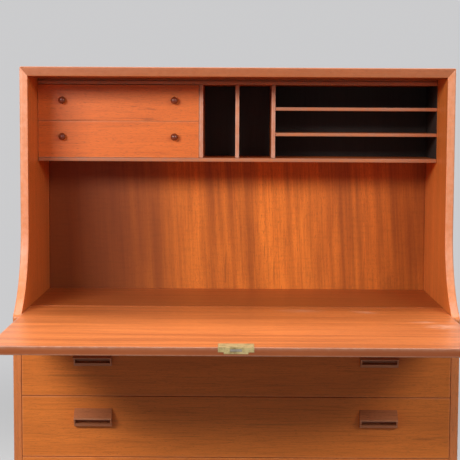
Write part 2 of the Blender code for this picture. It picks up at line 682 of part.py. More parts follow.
def make_wide_drawer(number, low_z, height):
    """A wide drawer: front, glued sides and back, floor panel and two pulls, on its two runners."""
    name = "wide_drawer_{}".format(number)
    high_z = low_z + height
    front_half = INNER_HALF - FRONT_SIDE_GAP
    box_half = INNER_HALF - BOX_SIDE_GAP
    front_back_y = LOWER_FRONT_Y + DRAWER_FRONT_THICKNESS
    box_front_y = front_back_y + TOUCH
    box_back_y = BACK_FACE_Y - DRAWER_REAR_SPACE
    box_low_z = low_z + DRAWER_BOX_RAISE
    box_high_z = high_z - DRAWER_BOX_DROP
    axis = add_axis(name + "_axis", (0, LOWER_FRONT_Y, (low_z + high_z) / 2))
    front = box(
        name + "_front", (-front_half, LOWER_FRONT_Y, low_z), (front_half, front_back_y, high_z),
        TEAK, DRAWER_ARRIS,
    )
    inside = box_half - DRAWER_WALL
    inner_back_y = box_back_y - DRAWER_WALL
    plan = [
        (-box_half, box_front_y), (-inside, box_front_y), (-inside, inner_back_y), (inside, inner_back_y),
        (inside, box_front_y), (box_half, box_front_y), (box_half, box_back_y), (-box_half, box_back_y),
    ]
    middle = (0, 0, (box_low_z + box_high_z) / 2)
    frame = outline(name + "_sides", plan, box_high_z - box_low_z, middle, PLAN_VIEW, BEECH)
    floor_z = box_low_z + DRAWER_FLOOR_RAISE
    grooved = inside + DRAWER_GROOVE
    groove = box(
        name + "_groove", (-grooved, box_front_y - TOUCH, floor_z),
        (grooved, inner_back_y + DRAWER_GROOVE, floor_z + DRAWER_FLOOR),
    )
    cut(frame, groove)
    panel = box(
        name + "_floor", (-grooved + TOUCH, box_front_y, floor_z + TOUCH),
        (grooved - TOUCH, inner_back_y + DRAWER_GROOVE - TOUCH, floor_z + DRAWER_FLOOR - TOUCH), PLYWOOD,
    )
    pieces = [front, frame, panel]
    for side, sign in (("left", -1), ("right", 1)):
        x = sign * PULL_FROM_MIDDLE
        pieces.append(make_pull("{}_pull_{}".format(name, side), x, high_z - PULL_DROP))
        make_runner("runner_{}_{}".format(number, side), sign, front_back_y, box_low_z - TOUCH)
    attach(pieces, axis)


def make_runner(name, sign, front_back_y, top_z):
    """A strip fixed to the case side that a drawer side slides on."""
    xs = sorted((sign * (INNER_HALF - TOUCH), sign * (INNER_HALF - RUNNER_WIDTH)))
    start_y = front_back_y + FRONT_GAP
    end_y = BACK_FACE_Y - RUNNER_REAR_SPACE
    box(name, (xs[0], start_y, top_z - RUNNER_HEIGHT), (xs[1], end_y, top_z), BEECH)


def make_wide_drawers():
    """The wide drawers, stacked from the front rail down."""
    high_z = FRONT_RAIL_Z - FRONT_GAP
    for number, height in enumerate(DRAWER_HEIGHTS, start=1):
        make_wide_drawer(number, high_z - height, height)
        high_z -= height + FRONT_GAP


make_case()
make_stand()
make_flap()
make_unit()
make_small_drawers()
make_wide_drawers()
bpy.context.view_layer.update()
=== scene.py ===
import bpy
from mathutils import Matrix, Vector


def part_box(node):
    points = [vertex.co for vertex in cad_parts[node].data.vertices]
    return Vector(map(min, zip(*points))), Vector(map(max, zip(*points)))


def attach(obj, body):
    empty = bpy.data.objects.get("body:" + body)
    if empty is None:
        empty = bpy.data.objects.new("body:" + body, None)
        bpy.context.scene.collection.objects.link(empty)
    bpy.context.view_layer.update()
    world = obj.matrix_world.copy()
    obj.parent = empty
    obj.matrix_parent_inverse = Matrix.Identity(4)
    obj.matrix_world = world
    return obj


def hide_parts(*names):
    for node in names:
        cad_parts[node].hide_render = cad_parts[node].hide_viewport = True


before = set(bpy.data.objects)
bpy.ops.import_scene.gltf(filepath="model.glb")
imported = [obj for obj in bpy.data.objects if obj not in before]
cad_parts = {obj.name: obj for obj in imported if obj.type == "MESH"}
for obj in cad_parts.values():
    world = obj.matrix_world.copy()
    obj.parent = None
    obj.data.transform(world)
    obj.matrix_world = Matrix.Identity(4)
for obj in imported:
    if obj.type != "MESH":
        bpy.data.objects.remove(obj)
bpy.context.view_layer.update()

import bpy
import numpy as np
from mathutils import Matrix, Vector

side_low, side_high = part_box("side_right")
top_low, top_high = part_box("top_board")
flap_low, flap_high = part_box("flap")
HALF_WIDTH = side_high.x
INNER_HALF = side_low.x
UPPER_FRONT = top_low.y
LOWER_FRONT = side_low.y
BACK = side_high.y
CASE_BASE = side_low.z
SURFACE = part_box("desk_board")[1].z
TOP_UNDER = top_low.z
TOP = top_high.z
SWEEP_RADIUS = 0.202
SWEEP_FOOT = 0.004
SHOULDER_RADIUS = 0.012
HANDS = ("left", "right")
WIDE_DRAWERS = ["wide_drawer_{}".format(number) for number in (1, 2, 3)]
SMALL_DRAWERS = ["small_drawer_{}".format(number) for number in (1, 2)]
print("writing surface at", round(1000 * SURFACE), "mm, top at", round(1000 * TOP), "mm")

# %% [markdown]
# ## From arrays to pieces
# A shape is worked out as rows of points, each row a closed loop. Neighbouring loops are joined
# with quads, and the first and last are closed with one flat face. Where two points coincide they
# become one, so a loop may pause in one place while its neighbour walks round a recess: that is
# how housings, mitres and finger hollows are made here without cutting anything.
# %% Mesh helpers
WELD = 0.000001


def joined_rows(rows):
    """Quads between neighbouring loops of a (rows, points, 3) array, and its two end loops."""
    count, around = rows.shape[:2]
    start = np.arange(count - 1)[:, None] * around
    here = np.arange(around)[None, :]
    ahead = (here + 1) % around
    quads = np.stack([start + here, start + ahead, start + around + ahead, start + around + here], -1)
    caps = [np.arange(around)[::-1], np.arange(around) + (count - 1) * around]
    return quads.reshape(-1, 4), caps


def merged(points, quads, caps):
    """Points that coincide become one; a quad that loses a corner becomes a triangle."""
    keys = np.round(points / WELD).astype(np.int64)
    _, first, number = np.unique(keys, axis=0, return_index=True, return_inverse=True)
    number = number.reshape(-1)
    quads = number[quads]
    same = quads == np.roll(quads, -1, axis=1)
    crossed = (quads[:, 0] == quads[:, 2]) | (quads[:, 1] == quads[:, 3])
    whole = quads[(same.sum(1) == 0) & ~crossed]
    short = same.sum(1) == 1
    triangles = quads[short][~same[short]].reshape(-1, 3)
    faces = whole.tolist() + triangles.tolist()
    for cap in caps:
        ring = number[cap]
        ring = ring[ring != np.roll(ring, 1)]
        if len(ring) > 2:
            faces.append(ring.tolist())
    return first, faces


def volume(points, faces):
    """Signed volume: the sum of the tetrahedra from the origin to each face, cut into a fan."""
    sizes = np.array([len(face) for face in faces])
    total = 0.0
    for size in np.unique(sizes):
        group = points[np.array([face for face in faces if len(face) == size])]
        for corner in range(1, size - 1):
            crossed = np.cross(group[:, corner], group[:, corner + 1])
            total += np.einsum("ij,ij->i", group[:, 0], crossed).sum()
    return total / 6.0


def together(*shapes):
    """Several shapes as one: (points, quads, caps, wear) with their numbers shifted."""
    points, quads, caps, wear, shift = [], [], [], [], 0
    for shape in shapes:
        points.append(shape[0])
        quads.append(shape[1] + shift)
        caps += [cap + shift for cap in shape[2]]
        wear.append(shape[3])
        shift += len(shape[0])
    return np.concatenate(points), np.concatenate(quads), caps, np.concatenate(wear)


def make_piece(name, shape, body, material, nodes=(), smooth=38.0):
    """Turn a shape into a closed mesh with its faces outwards, and hang it on a body of the desk."""
    points, quads, caps, wear = shape
    first, faces = merged(points, quads, caps)
    if volume(points[first], faces) < 0:
        faces = [face[::-1] for face in faces]
    mesh = bpy.data.meshes.new(name)
    mesh.from_pydata(points[first].tolist(), [], faces)
    mesh.shade_smooth()
    mesh.set_sharp_from_angle(angle=np.radians(smooth))
    rubbed = mesh.attributes.new("wear", "FLOAT", "POINT")
    rubbed.data.foreach_set("value", wear[first].astype(np.float32))
    mesh.materials.append(material)
    piece = bpy.data.objects.new(name, mesh)
    bpy.context.scene.collection.objects.link(piece)
    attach(piece, body)
    if nodes:
        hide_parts(*nodes)
    return piece


print("helpers ready")

# %% [markdown]
# ## Boards with softened edges
# No edge on handled furniture is sharp: a few strokes of sandpaper leave a tiny round, the arris,
# and that round is what catches the light along every board. A board is a cuboid whose points are
# pulled to within one radius of a smaller cuboid inside it. Each point also stores how close it is
# to an edge, and the finish reads that number to rub the edges pale.
# %% Softened boards
WEAR_REACH = 0.004


def stops(low, high, radius, strip, steps=3):
    """Places along one side: equal angles round each arris, then the end of the rubbed strip."""
    bend = radius * (1 - np.tan(np.linspace(np.pi / 4, 0, steps + 1)))
    reach = min(radius + strip, 0.42 * (high - low))
    return np.concatenate([low + bend, [low + reach, high - reach], high - bend[::-1]])


def soft_board(low, high, radius=0.0010, strip=WEAR_REACH):
    """A cuboid whose every point lies one radius from an inner cuboid."""
    low = np.array(low, float)
    high = np.array(high, float)
    radius = min(radius, 0.3 * (high - low).min())
    places = [stops(low[axis], high[axis], radius, strip) for axis in range(3)]
    points, quads, shift = [], [], 0
    for axis in range(3):
        one, two = [other for other in range(3) if other != axis]
        for end in (low[axis], high[axis]):
            across, along = np.meshgrid(places[one], places[two], indexing="ij")
            grid = np.empty(across.shape + (3,))
            grid[..., one], grid[..., two], grid[..., axis] = across, along, end
            number = np.arange(across.size).reshape(across.shape) + shift
            corners = [number[:-1, :-1], number[1:, :-1], number[1:, 1:], number[:-1, 1:]]
            if (end == low[axis]) == (axis != 1):
                corners = corners[::-1]
            quads.append(np.stack(corners, -1).reshape(-1, 4))
            points.append(grid.reshape(-1, 3))
            shift += across.size
    points = np.concatenate(points)
    core = np.clip(points, low + radius, high - radius)
    away = points - core
    points = core + radius * away / np.linalg.norm(away, axis=1)[:, None]
    depth = np.sort(np.minimum(points - low, high - points), axis=1)[:, 1]
    wear = np.clip(1 - (depth - 0.3 * radius) / strip, 0, 1)
    return points, np.concatenate(quads), [], wear


def framed_board(node, radius=0.0010, strip=WEAR_REACH):
    """A softened board that fills a node's box."""
    return soft_board(*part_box(node), radius, strip)


print("one board has", len(framed_board("desk_board")[1]), "faces before merging")

# %% [markdown]
# ## Wood, worked out in the round
# Teak has long bands where slow and fast growth alternate, short dark pores like pen strokes, and
# a few inky mineral lines. All of them follow the trunk, so the pattern is noise drawn out along
# the grain. It is a solid pattern, not a picture, so end grain and edges come out right as well.
# One group holds it, because every wooden finish here needs it with other values.
# %% Node helpers


def add_node(tree, kind, place, **settings):
    """A node at a place in the tree, with its settings."""
    node = tree.nodes.new(kind)
    node.location = place
    for name, value in settings.items():
        setattr(node, name, value)
    return node


def feed(tree, value, socket):
    """Link a socket to another, or set it to a plain number, vector or colour."""
    if isinstance(value, bpy.types.NodeSocket):
        tree.links.new(value, socket)
    elif socket.type == "RGBA":
        socket.default_value = (*value, 1.0)
    else:
        socket.default_value = value


def maths(tree, operation, place, first, second, clamp=False):
    """A Math node that takes sockets or plain numbers."""
    node = add_node(tree, "ShaderNodeMath", place, operation=operation, use_clamp=clamp)
    feed(tree, first, node.inputs[0])
    feed(tree, second, node.inputs[1])
    return node.outputs[0]


def vector_maths(tree, operation, place, *vectors):
    """A Vector Math node between sockets."""
    node = add_node(tree, "ShaderNodeVectorMath", place, operation=operation)
    for vector, socket in zip(vectors, node.inputs):
        tree.links.new(vector, socket)
    return node.outputs["Value" if operation == "LENGTH" else "Vector"]


def noise(tree, place, vector, stretch, detail=2.0, roughness=0.5, shift=(0, 0, 0)):
    """Noise of a vector that is scaled along each axis first."""
    mapping = add_node(tree, "ShaderNodeMapping", place)
    mapping.inputs["Scale"].default_value = stretch
    mapping.inputs["Location"].default_value = shift
    tree.links.new(vector, mapping.inputs["Vector"])
    cloud = add_node(tree, "ShaderNodeTexNoise", (place[0] + 180, place[1]))
    cloud.inputs["Scale"].default_value = 1.0
    cloud.inputs["Detail"].default_value = detail
    cloud.inputs["Roughness"].default_value = roughness
    tree.links.new(mapping.outputs[0], cloud.inputs["Vector"])
    return cloud.outputs["Fac"]


def remap(tree, place, value, low, high, new_low=0.0, new_high=1.0):
    """Stretch a value from one range to another, smoothly, and hold it at the ends."""
    node = add_node(tree, "ShaderNodeMapRange", place, interpolation_type="SMOOTHSTEP")
    for socket, number in zip(node.inputs[1:5], (low, high, new_low, new_high)):
        socket.default_value = number
    tree.links.new(value, node.inputs["Value"])
    return node.outputs["Result"]


def blend_colours(tree, place, amount, first, second, kind="MIX"):
    """Mix two colours, which are sockets or plain colours."""
    node = add_node(tree, "ShaderNodeMix", place, data_type="RGBA", blend_type=kind)
    for value, socket in zip((amount, first, second), (node.inputs[0], node.inputs[6], node.inputs[7])):
        feed(tree, value, socket)
    return node.outputs[2]


def new_group(name, inputs, outputs):
    """An empty shader group with named sockets: (name, kind, value) in, (name, kind) out."""
    group = bpy.data.node_groups.new(name, "ShaderNodeTree")
    for label, kind, value in inputs:
        socket = group.interface.new_socket(label, in_out="INPUT", socket_type="NodeSocket" + kind)
        if value is not None:
            socket.default_value = value
    for label, kind in outputs:
        group.interface.new_socket(label, in_out="OUTPUT", socket_type="NodeSocket" + kind)
    given = add_node(group, "NodeGroupInput", (-1500, 0))
    made = add_node(group, "NodeGroupOutput", (1500, 0))
    return group, given, made


def use_group(tree, place, group, **values):
    """A group placed in a tree, each of its named inputs linked or set; gives its outputs."""
    node = add_node(tree, "ShaderNodeGroup", place, node_tree=group)
    for label, value in values.items():
        feed(tree, value, node.inputs[label])
    return node.outputs


def new_material(name):
    """A material, its node tree and its Principled shader."""
    material = bpy.data.materials.new(name)
    material.use_nodes = True
    return material, material.node_tree, material.node_tree.nodes["Principled BSDF"]


def raise_bumps(tree, shader, height, strength, distance):
    """Bumps from a height, a distance deep, that bend the shader's normal."""
    bumps = add_node(tree, "ShaderNodeBump", (-300, -300))
    bumps.inputs["Strength"].default_value = strength
    bumps.inputs["Distance"].default_value = distance
    tree.links.new(height, bumps.inputs["Height"])
    tree.links.new(bumps.outputs["Normal"], shader.inputs["Normal"])


print("node helpers ready")


# %% The teak group
INK = (0.10, 0.030, 0.012)
PORE = (0.09, 0.028, 0.010)


def make_grain_group():
    """Bands, streaks, pores and mineral lines; the grain runs along the vector's X."""
    group, given, made = new_group(
        "wood_grain",
        [("Vector", "Vector", None), ("Light", "Color", (0.7, 0.3, 0.1, 1)),
         ("Dark", "Color", (0.3, 0.1, 0.03, 1)), ("Bands", "Float", 0.5), ("Streaks", "Float", 0.5),
         ("Pores", "Float", 0.5), ("Lines", "Float", 0.4)],
        [("Color", "Color"), ("Shine", "Float"), ("Height", "Float")],
    )
    vector = given.outputs["Vector"]
    wander = noise(group, (-1300, 300), vector, (1.7, 6.0, 6.0))
    wander = maths(group, "SUBTRACT", (-1050, 300), wander, 0.5)
    shift = add_node(group, "ShaderNodeCombineXYZ", (-750, 300))
    group.links.new(maths(group, "MULTIPLY", (-900, 300), wander, 0.06), shift.inputs["Y"])
    flow = vector_maths(group, "ADD", (-600, 300), vector, shift.outputs[0])
    bands = noise(group, (-400, 500), flow, (1.1, 46.0, 30.0), 4.0, 0.62)
    bands = remap(group, (0, 500), bands, 0.28, 0.72)
    broad = noise(group, (-400, 300), flow, (0.8, 9.0, 7.0))
    broad = remap(group, (0, 300), broad, 0.25, 0.75)
    streaks = noise(group, (-400, 100), flow, (7.0, 520.0, 380.0), 3.0, 0.6)
    fine = remap(group, (200, 100), streaks, 0.42, 0.78)
    pores = noise(group, (-400, -100), flow, (85.0, 2300.0, 1900.0), 1.0)
    pores = remap(group, (0, -100), pores, 0.60, 0.72)
    lines = noise(group, (-400, -300), flow, (1.6, 150.0, 90.0), shift=(3, 7, 1))
    lines = remap(group, (0, -300), lines, 0.66, 0.74)
    figure = maths(group, "ADD", (200, 400), maths(group, "MULTIPLY", (50, 420), bands, 0.6),
                   maths(group, "MULTIPLY", (50, 300), broad, 0.4))
    amount = maths(group, "MULTIPLY", (350, 400), figure, given.outputs["Bands"])
    colour = blend_colours(group, (500, 400), amount, given.outputs["Light"], given.outputs["Dark"])
    fine = maths(group, "MULTIPLY", (350, 100), fine, given.outputs["Streaks"])
    colour = blend_colours(group, (700, 300), fine, colour, given.outputs["Dark"])
    inky = maths(group, "MULTIPLY", (350, -300), lines, given.outputs["Lines"])
    colour = blend_colours(group, (900, 200), inky, colour, INK)
    holes = maths(group, "MULTIPLY", (350, -100), pores, given.outputs["Pores"])
    colour = blend_colours(group, (1100, 100), holes, colour, PORE)
    shine = maths(group, "MULTIPLY", (700, -100), streaks, 0.16)
    shine = maths(group, "ADD", (900, -100), shine, -0.08)
    dull = maths(group, "MULTIPLY", (900, -250), holes, 0.2)
    ridges = maths(group, "MULTIPLY", (900, -400), streaks, 0.5)
    group.links.new(colour, made.inputs["Color"])
    group.links.new(maths(group, "ADD", (1100, -100), shine, dull), made.inputs["Shine"])
    group.links.new(maths(group, "SUBTRACT", (1100, -300), ridges, holes), made.inputs["Height"])
    return group


GRAIN = make_grain_group()
print("the grain group has", len(GRAIN.nodes), "nodes")

# %% [markdown]
# ## Rubbed edges, and scuffs on the writing surface
# Where hands and sleeves pass, the oil wears off and the wood looks pale and dry. The first group
# turns the stored closeness to an edge into a broken pale line; on the unit's thin boards and the
# sides' front edges that line is partly a painted highlight. The second draws one soft scuff:
# an ellipse on the surface, frayed with noise drawn out along its length.
# %% Wear groups
def make_edge_group():
    """How pale a spot is: its closeness to an edge, broken up by noise; wear, and on some boards a painted
    highlight.
    """
    group, given, made = new_group(
        "edge_paling",
        [("Vector", "Vector", None), ("Closeness", "Float", 0.0), ("Amount", "Float", 0.5)],
        [("Mask", "Float")],
    )
    patches = noise(group, (-1000, 0), given.outputs["Vector"], (90, 90, 90), 3.0)
    patches = remap(group, (-500, 0), patches, 0.3, 0.7, 0.55, 1.0)
    close = maths(group, "POWER", (-500, 250), given.outputs["Closeness"], 2.2)
    broken = maths(group, "MULTIPLY", (-200, 100), close, patches)
    mask = maths(group, "MULTIPLY", (0, 100), broken, given.outputs["Amount"], True)
    group.links.new(mask, made.inputs["Mask"])
    return group


def make_scuff_group():
    """A frayed ellipse: one at its middle, nothing outside its length and width."""
    group, given, made = new_group(
        "scuff",
        [("Vector", "Vector", None), ("Place", "Vector", (0, 0, 0)), ("Size", "Vector", (1, 1, 1)),
         ("Turn", "Float", 0.0), ("Amount", "Float", 0.5)],
        [("Mask", "Float")],
    )
    given = given.outputs
    offset = vector_maths(group, "SUBTRACT", (-1200, 100), given["Vector"], given["Place"])
    turned = add_node(group, "ShaderNodeVectorRotate", (-1000, 100), rotation_type="Z_AXIS")
    group.links.new(offset, turned.inputs["Vector"])
    group.links.new(given["Turn"], turned.inputs["Angle"])
    shrunk = vector_maths(group, "DIVIDE", (-800, 100), turned.outputs[0], given["Size"])
    inside = remap(group, (-400, 100), vector_maths(group, "LENGTH", (-600, 100), shrunk), 1.0, 0.2)
    frayed = noise(group, (-600, -150), shrunk, (1.2, 7.0, 1.0), 5.0, 0.75)
    frayed = remap(group, (-100, -100), frayed, 0.42, 0.66)
    mask = maths(group, "MULTIPLY", (50, 0), inside, frayed)
    mask = maths(group, "MULTIPLY", (200, 0), mask, given["Amount"], True)
    group.links.new(mask, made.inputs["Mask"])
    return group


EDGE_PALING = make_edge_group()
SCUFF = make_scuff_group()
print("wear groups have", len(EDGE_PALING.nodes), "and", len(SCUFF.nodes), "nodes")

# %% [markdown]
# ## Finishes
# Oiled teak is satin: rough enough to blur a lamp into a glow, smooth enough to shine on an arris.
# A wooden finish turns the desk's own coordinates so that the pattern's X runs along the board,
# asks the grain group for colour, shine and height, and pales the edges. The flap is a veneered
# board; its front edge gets a dark band of painted shade, for an edge that faces away from the lamps.
# %% Wooden finishes
ALONG_X = (0.0, 0.0, 0.0)
ALONG_Y = (0.0, 0.0, -np.pi / 2)
ALONG_Z = (0.0, np.pi / 2, 0.0)
PALE = (0.86, 0.44, 0.24)
# Painted shade for the flap's front edge: its colour, and where the band starts and ends behind the edge.
FRONT_EDGE_SHADE = (0.22, 0.046, 0.008)
FRONT_EDGE_SHADE_START = 0.0006
FRONT_EDGE_SHADE_END = 0.0016
WORN_ROUGHER = 0.06
GRAIN_DEPTH = 0.0004


def wood(name, turn, light, dark, bands=0.6, streaks=0.5, pores=0.55, lines=0.35, rough=0.40,
         edge_pale=0.5, shift=(0.0, 0.0, 0.0), scuffs=(), pale=PALE, glow=0.5, front_edge_shade=0.0):
    """An oiled wood whose grain runs along X after the turn."""
    material, tree, shader = new_material(name)
    place = add_node(tree, "ShaderNodeTexCoord", (-1400, 0)).outputs["Object"]
    mapping = add_node(tree, "ShaderNodeMapping", (-1200, 0))
    mapping.inputs["Rotation"].default_value = turn
    mapping.inputs["Location"].default_value = shift
    tree.links.new(place, mapping.inputs["Vector"])
    grain = use_group(tree, (-900, 0), GRAIN, Vector=mapping.outputs[0], Light=light, Dark=dark,
                      Bands=bands, Streaks=streaks, Pores=pores, Lines=lines)
    closeness = add_node(tree, "ShaderNodeAttribute", (-1200, 300), attribute_name="wear").outputs["Fac"]
    paled = use_group(tree, (-900, 300), EDGE_PALING, Vector=place, Closeness=closeness, Amount=edge_pale)["Mask"]
    for number, (spot, size, angle, amount) in enumerate(scuffs):
        level = 500 + 200 * number
        scuff = use_group(tree, (-900, level), SCUFF, Vector=place, Place=spot, Size=size, Turn=angle,
                          Amount=amount)
        paled = maths(tree, "MAXIMUM", (-650, level), paled, scuff["Mask"])
    figure = grain["Color"]
    # Painted shade: a dark band across the flap's front edge, which faces away from the light.
    if front_edge_shade:
        depth = add_node(tree, "ShaderNodeSeparateXYZ", (-1200, -300))
        tree.links.new(place, depth.inputs[0])
        strip = remap(tree, (-900, -300), depth.outputs["Y"], flap_low.y + FRONT_EDGE_SHADE_END,
                      flap_low.y + FRONT_EDGE_SHADE_START, 0.0, front_edge_shade)
        figure = blend_colours(tree, (-650, 0), strip, figure, FRONT_EDGE_SHADE)
    tree.links.new(blend_colours(tree, (-500, 100), paled, figure, pale), shader.inputs["Base Color"])
    dry = maths(tree, "MULTIPLY", (-500, -250), paled, WORN_ROUGHER)
    roughness = maths(tree, "ADD", (-500, -100), grain["Shine"], rough)
    tree.links.new(maths(tree, "ADD", (-350, -100), roughness, dry, True), shader.inputs["Roughness"])
    raise_bumps(tree, shader, grain["Height"], 0.12, GRAIN_DEPTH)
    shader.inputs["Specular IOR Level"].default_value = glow
    return material


TEAK_LIGHT = (0.68, 0.185, 0.037)
TEAK_DARK = (0.36, 0.078, 0.014)
SURFACE_SCUFFS = (
    ((0.281, 0.030, SURFACE), (0.042, 0.022, 0.008), 0.5, 0.66),
    ((0.425, -0.165, SURFACE), (0.050, 0.042, 0.008), -0.3, 0.64),
    ((0.395, -0.110, SURFACE), (0.040, 0.020, 0.008), -0.1, 0.5),
    ((0.140, 0.045, SURFACE), (0.070, 0.030, 0.008), 0.05, 0.38),
)
teak_x = wood("teak_along_x", ALONG_X, (0.44, 0.106, 0.019), (0.28, 0.058, 0.010), edge_pale=0.3, rough=0.48,
              pale=(0.52, 0.20, 0.09), glow=0.35)
# On the sides the pale front edge is partly wear and partly a painted sheen on the end-on edge.
teak_z = wood("teak_along_z", ALONG_Z, (0.86, 0.245, 0.045), (0.50, 0.115, 0.020), edge_pale=0.6,
              pale=(0.88, 0.40, 0.24), shift=(0.3, 1.7, 0.4))
teak_y = wood("teak_along_y", ALONG_Y, TEAK_LIGHT, TEAK_DARK, shift=(0.9, 0.2, 2.1))
teak_surface = wood("teak_writing_surface", ALONG_X, (0.86, 0.245, 0.055), (0.30, 0.068, 0.012),
                    bands=0.9, streaks=0.75, rough=0.36, edge_pale=0.14, scuffs=SURFACE_SCUFFS,
                    shift=(0.2, 3.1, 0.6), pale=(0.98, 0.72, 0.54), front_edge_shade=0.75)
# Painted shade: the desk board and the batten stand back under the top, so their teak is darker than the
# writing surface.
teak_inner = wood("teak_inner_boards", ALONG_X, (0.56, 0.148, 0.029), (0.29, 0.062, 0.011), bands=0.8,
                  edge_pale=0.0, glow=0.4, shift=(0.2, 3.1, 0.6))
# The unit's thin boards are pale over their whole front edge: partly lippings of paler wood, partly a painted
# highlight where the edges face the lamps and the faces stay in shade.
UNIT_PALE = (0.34, 0.19, 0.13)
teak_unit_x = wood("teak_unit_along_x", ALONG_X, TEAK_LIGHT, TEAK_DARK, edge_pale=0.8, pale=UNIT_PALE,
                   shift=(0.6, 0.1, 0.9))
teak_unit_z = wood("teak_unit_along_z", ALONG_Z, TEAK_LIGHT, TEAK_DARK, edge_pale=0.8, pale=(0.66, 0.42, 0.33),
                   shift=(0.1, 0.5, 1.9))
teak_fronts = wood("teak_drawer_fronts", ALONG_X, (0.86, 0.235, 0.036), (0.44, 0.100, 0.014), lines=0.3,
                   glow=0.3, bands=0.45, streaks=0.55, pores=0.38, rough=0.42, edge_pale=0.25,
                   shift=(1.3, 0.7, 0.2))
teak_small_fronts = wood("teak_small_fronts", ALONG_X, (0.78, 0.180, 0.027), (0.46, 0.092, 0.013), glow=0.4,
                         bands=0.5, streaks=0.5, rough=0.40, edge_pale=0.3, shift=(2.3, 1.7, 0.9))
dark_teak = wood("dark_teak", ALONG_X, (0.62, 0.225, 0.090), (0.34, 0.105, 0.040), rough=0.38,
                 edge_pale=0.4, pale=(0.74, 0.36, 0.20), bands=0.5, glow=0.4)
knob_wood = wood("knob_wood", ALONG_Y, (0.22, 0.036, 0.010), (0.10, 0.016, 0.005), rough=0.24, edge_pale=0.2,
                 pale=(0.5, 0.20, 0.10), bands=0.5, glow=0.4)
# Painted shade: a near-black finish that stands for the dark inside the pigeonholes.
painted_shade_finish = wood("painted_shade_sheet", ALONG_Z, (0.030, 0.016, 0.011), (0.014, 0.008, 0.006), rough=0.7,
               edge_pale=0.0, pores=0.2, lines=0.0)
box_wood_x, box_wood_y = (
    wood(name, turn, (0.62, 0.42, 0.24), (0.42, 0.25, 0.12), bands=0.35, streaks=0.3, pores=0.25,
         lines=0.05, rough=0.55, pale=(0.75, 0.58, 0.40))
    for name, turn in (("box_wood_along_x", ALONG_X), ("box_wood_along_y", ALONG_Y))
)
plywood_x = wood("plywood_along_x", ALONG_X, (0.56, 0.37, 0.20), (0.38, 0.23, 0.11), bands=0.5,
                 streaks=0.35, pores=0.4, lines=0.1, rough=0.6, edge_pale=0.0)
print("wooden finishes made")

# %% [markdown]
# ## Ribbon veneer
# The panel behind the writing space is cut so that the grain swings from side to side as it grew.
# Light falls off it in upright ribbons, pale beside dark, with faint ripples across them. It is
# the same grain with more layers: wide and narrow ribbons that lean a little, a darkening towards
# both ends of the panel, partly the veneer's tone and partly painted shade cast by the sides, and
# the ripples.
# %% Ribbon veneer
RIBBON_SHADE = (0.24, 0.052, 0.011)
END_SHADE = (0.22, 0.050, 0.012)


def ribbon_veneer():
    """Upright ribbons over the teak grain, and darker towards both ends: partly the veneer's tone, partly
    painted shade from the sides.
    """
    material = wood("ribbon_veneer", ALONG_Z, (0.97, 0.270, 0.036), (0.60, 0.130, 0.017), bands=0.45,
                    glow=0.25, streaks=0.55, rough=0.44, edge_pale=0.0, shift=(0.4, 0.6, 0.2))
    tree = material.node_tree
    shader = tree.nodes["Principled BSDF"]
    plain = shader.inputs["Base Color"].links[0].from_socket
    vector = next(node for node in tree.nodes if node.type == "MAPPING").outputs[0]
    lean = add_node(tree, "ShaderNodeVectorRotate", (-900, -500), rotation_type="Y_AXIS")
    lean.inputs["Angle"].default_value = 0.06
    tree.links.new(vector, lean.inputs["Vector"])
    wide = noise(tree, (-700, -500), lean.outputs[0], (1.5, 1.0, 13.0), 3.0, 0.6, (0.3, 0.0, 1.2))
    wide = remap(tree, (-500, -500), wide, 0.36, 0.64, 0.0, 0.42)
    narrow = noise(tree, (-700, -650), lean.outputs[0], (1.3, 1.0, 75.0), 3.0, 0.65)
    narrow = remap(tree, (-500, -650), narrow, 0.35, 0.68, 0.0, 0.34)
    ribbons = maths(tree, "ADD", (-300, -550), wide, narrow)
    colour = blend_colours(tree, (-50, 100), ribbons, plain, RIBBON_SHADE)
    # Darker towards both ends of the panel: partly the veneer's own tone, partly painted shade that the sides
    # cast on it.
    across = add_node(tree, "ShaderNodeSeparateXYZ", (-900, -1000))
    tree.links.new(lean.outputs[0], across.inputs[0])
    across = maths(tree, "MULTIPLY", (-700, -1000), across.outputs["Z"], -1.0)
    left_end = remap(tree, (-500, -950), across, -0.16, -0.46, 0.0, 0.88)
    right_end = remap(tree, (-500, -1050), across, 0.12, 0.47, 0.0, 0.70)
    ends = maths(tree, "MAXIMUM", (-300, -1000), left_end, right_end)
    colour = blend_colours(tree, (50, 100), ends, colour, END_SHADE)
    ripples = noise(tree, (-700, -850), vector, (170.0, 1.0, 26.0))
    ripples = remap(tree, (-400, -850), ripples, 0.34, 0.54, 0.94, 1.0)
    grey = add_node(tree, "ShaderNodeCombineColor", (-50, -600))
    for socket in grey.inputs[:3]:
        tree.links.new(ripples, socket)
    colour = blend_colours(tree, (120, 100), 1.0, colour, grey.outputs[0], "MULTIPLY")
    tree.links.new(colour, shader.inputs["Base Color"])
    return material


ribbon = ribbon_veneer()
print("ribbon veneer has", len(ribbon.node_tree.nodes), "nodes")

# %% [markdown]
# ## Metal
# The lock is brass that is still yellow in places and has gone brown in others.
# Fine scratches run one way, so the roughness and a slight bump are drawn out along that way.
# %% Metal finishes
BRUSHED = (40.0, 1400.0, 1400.0)


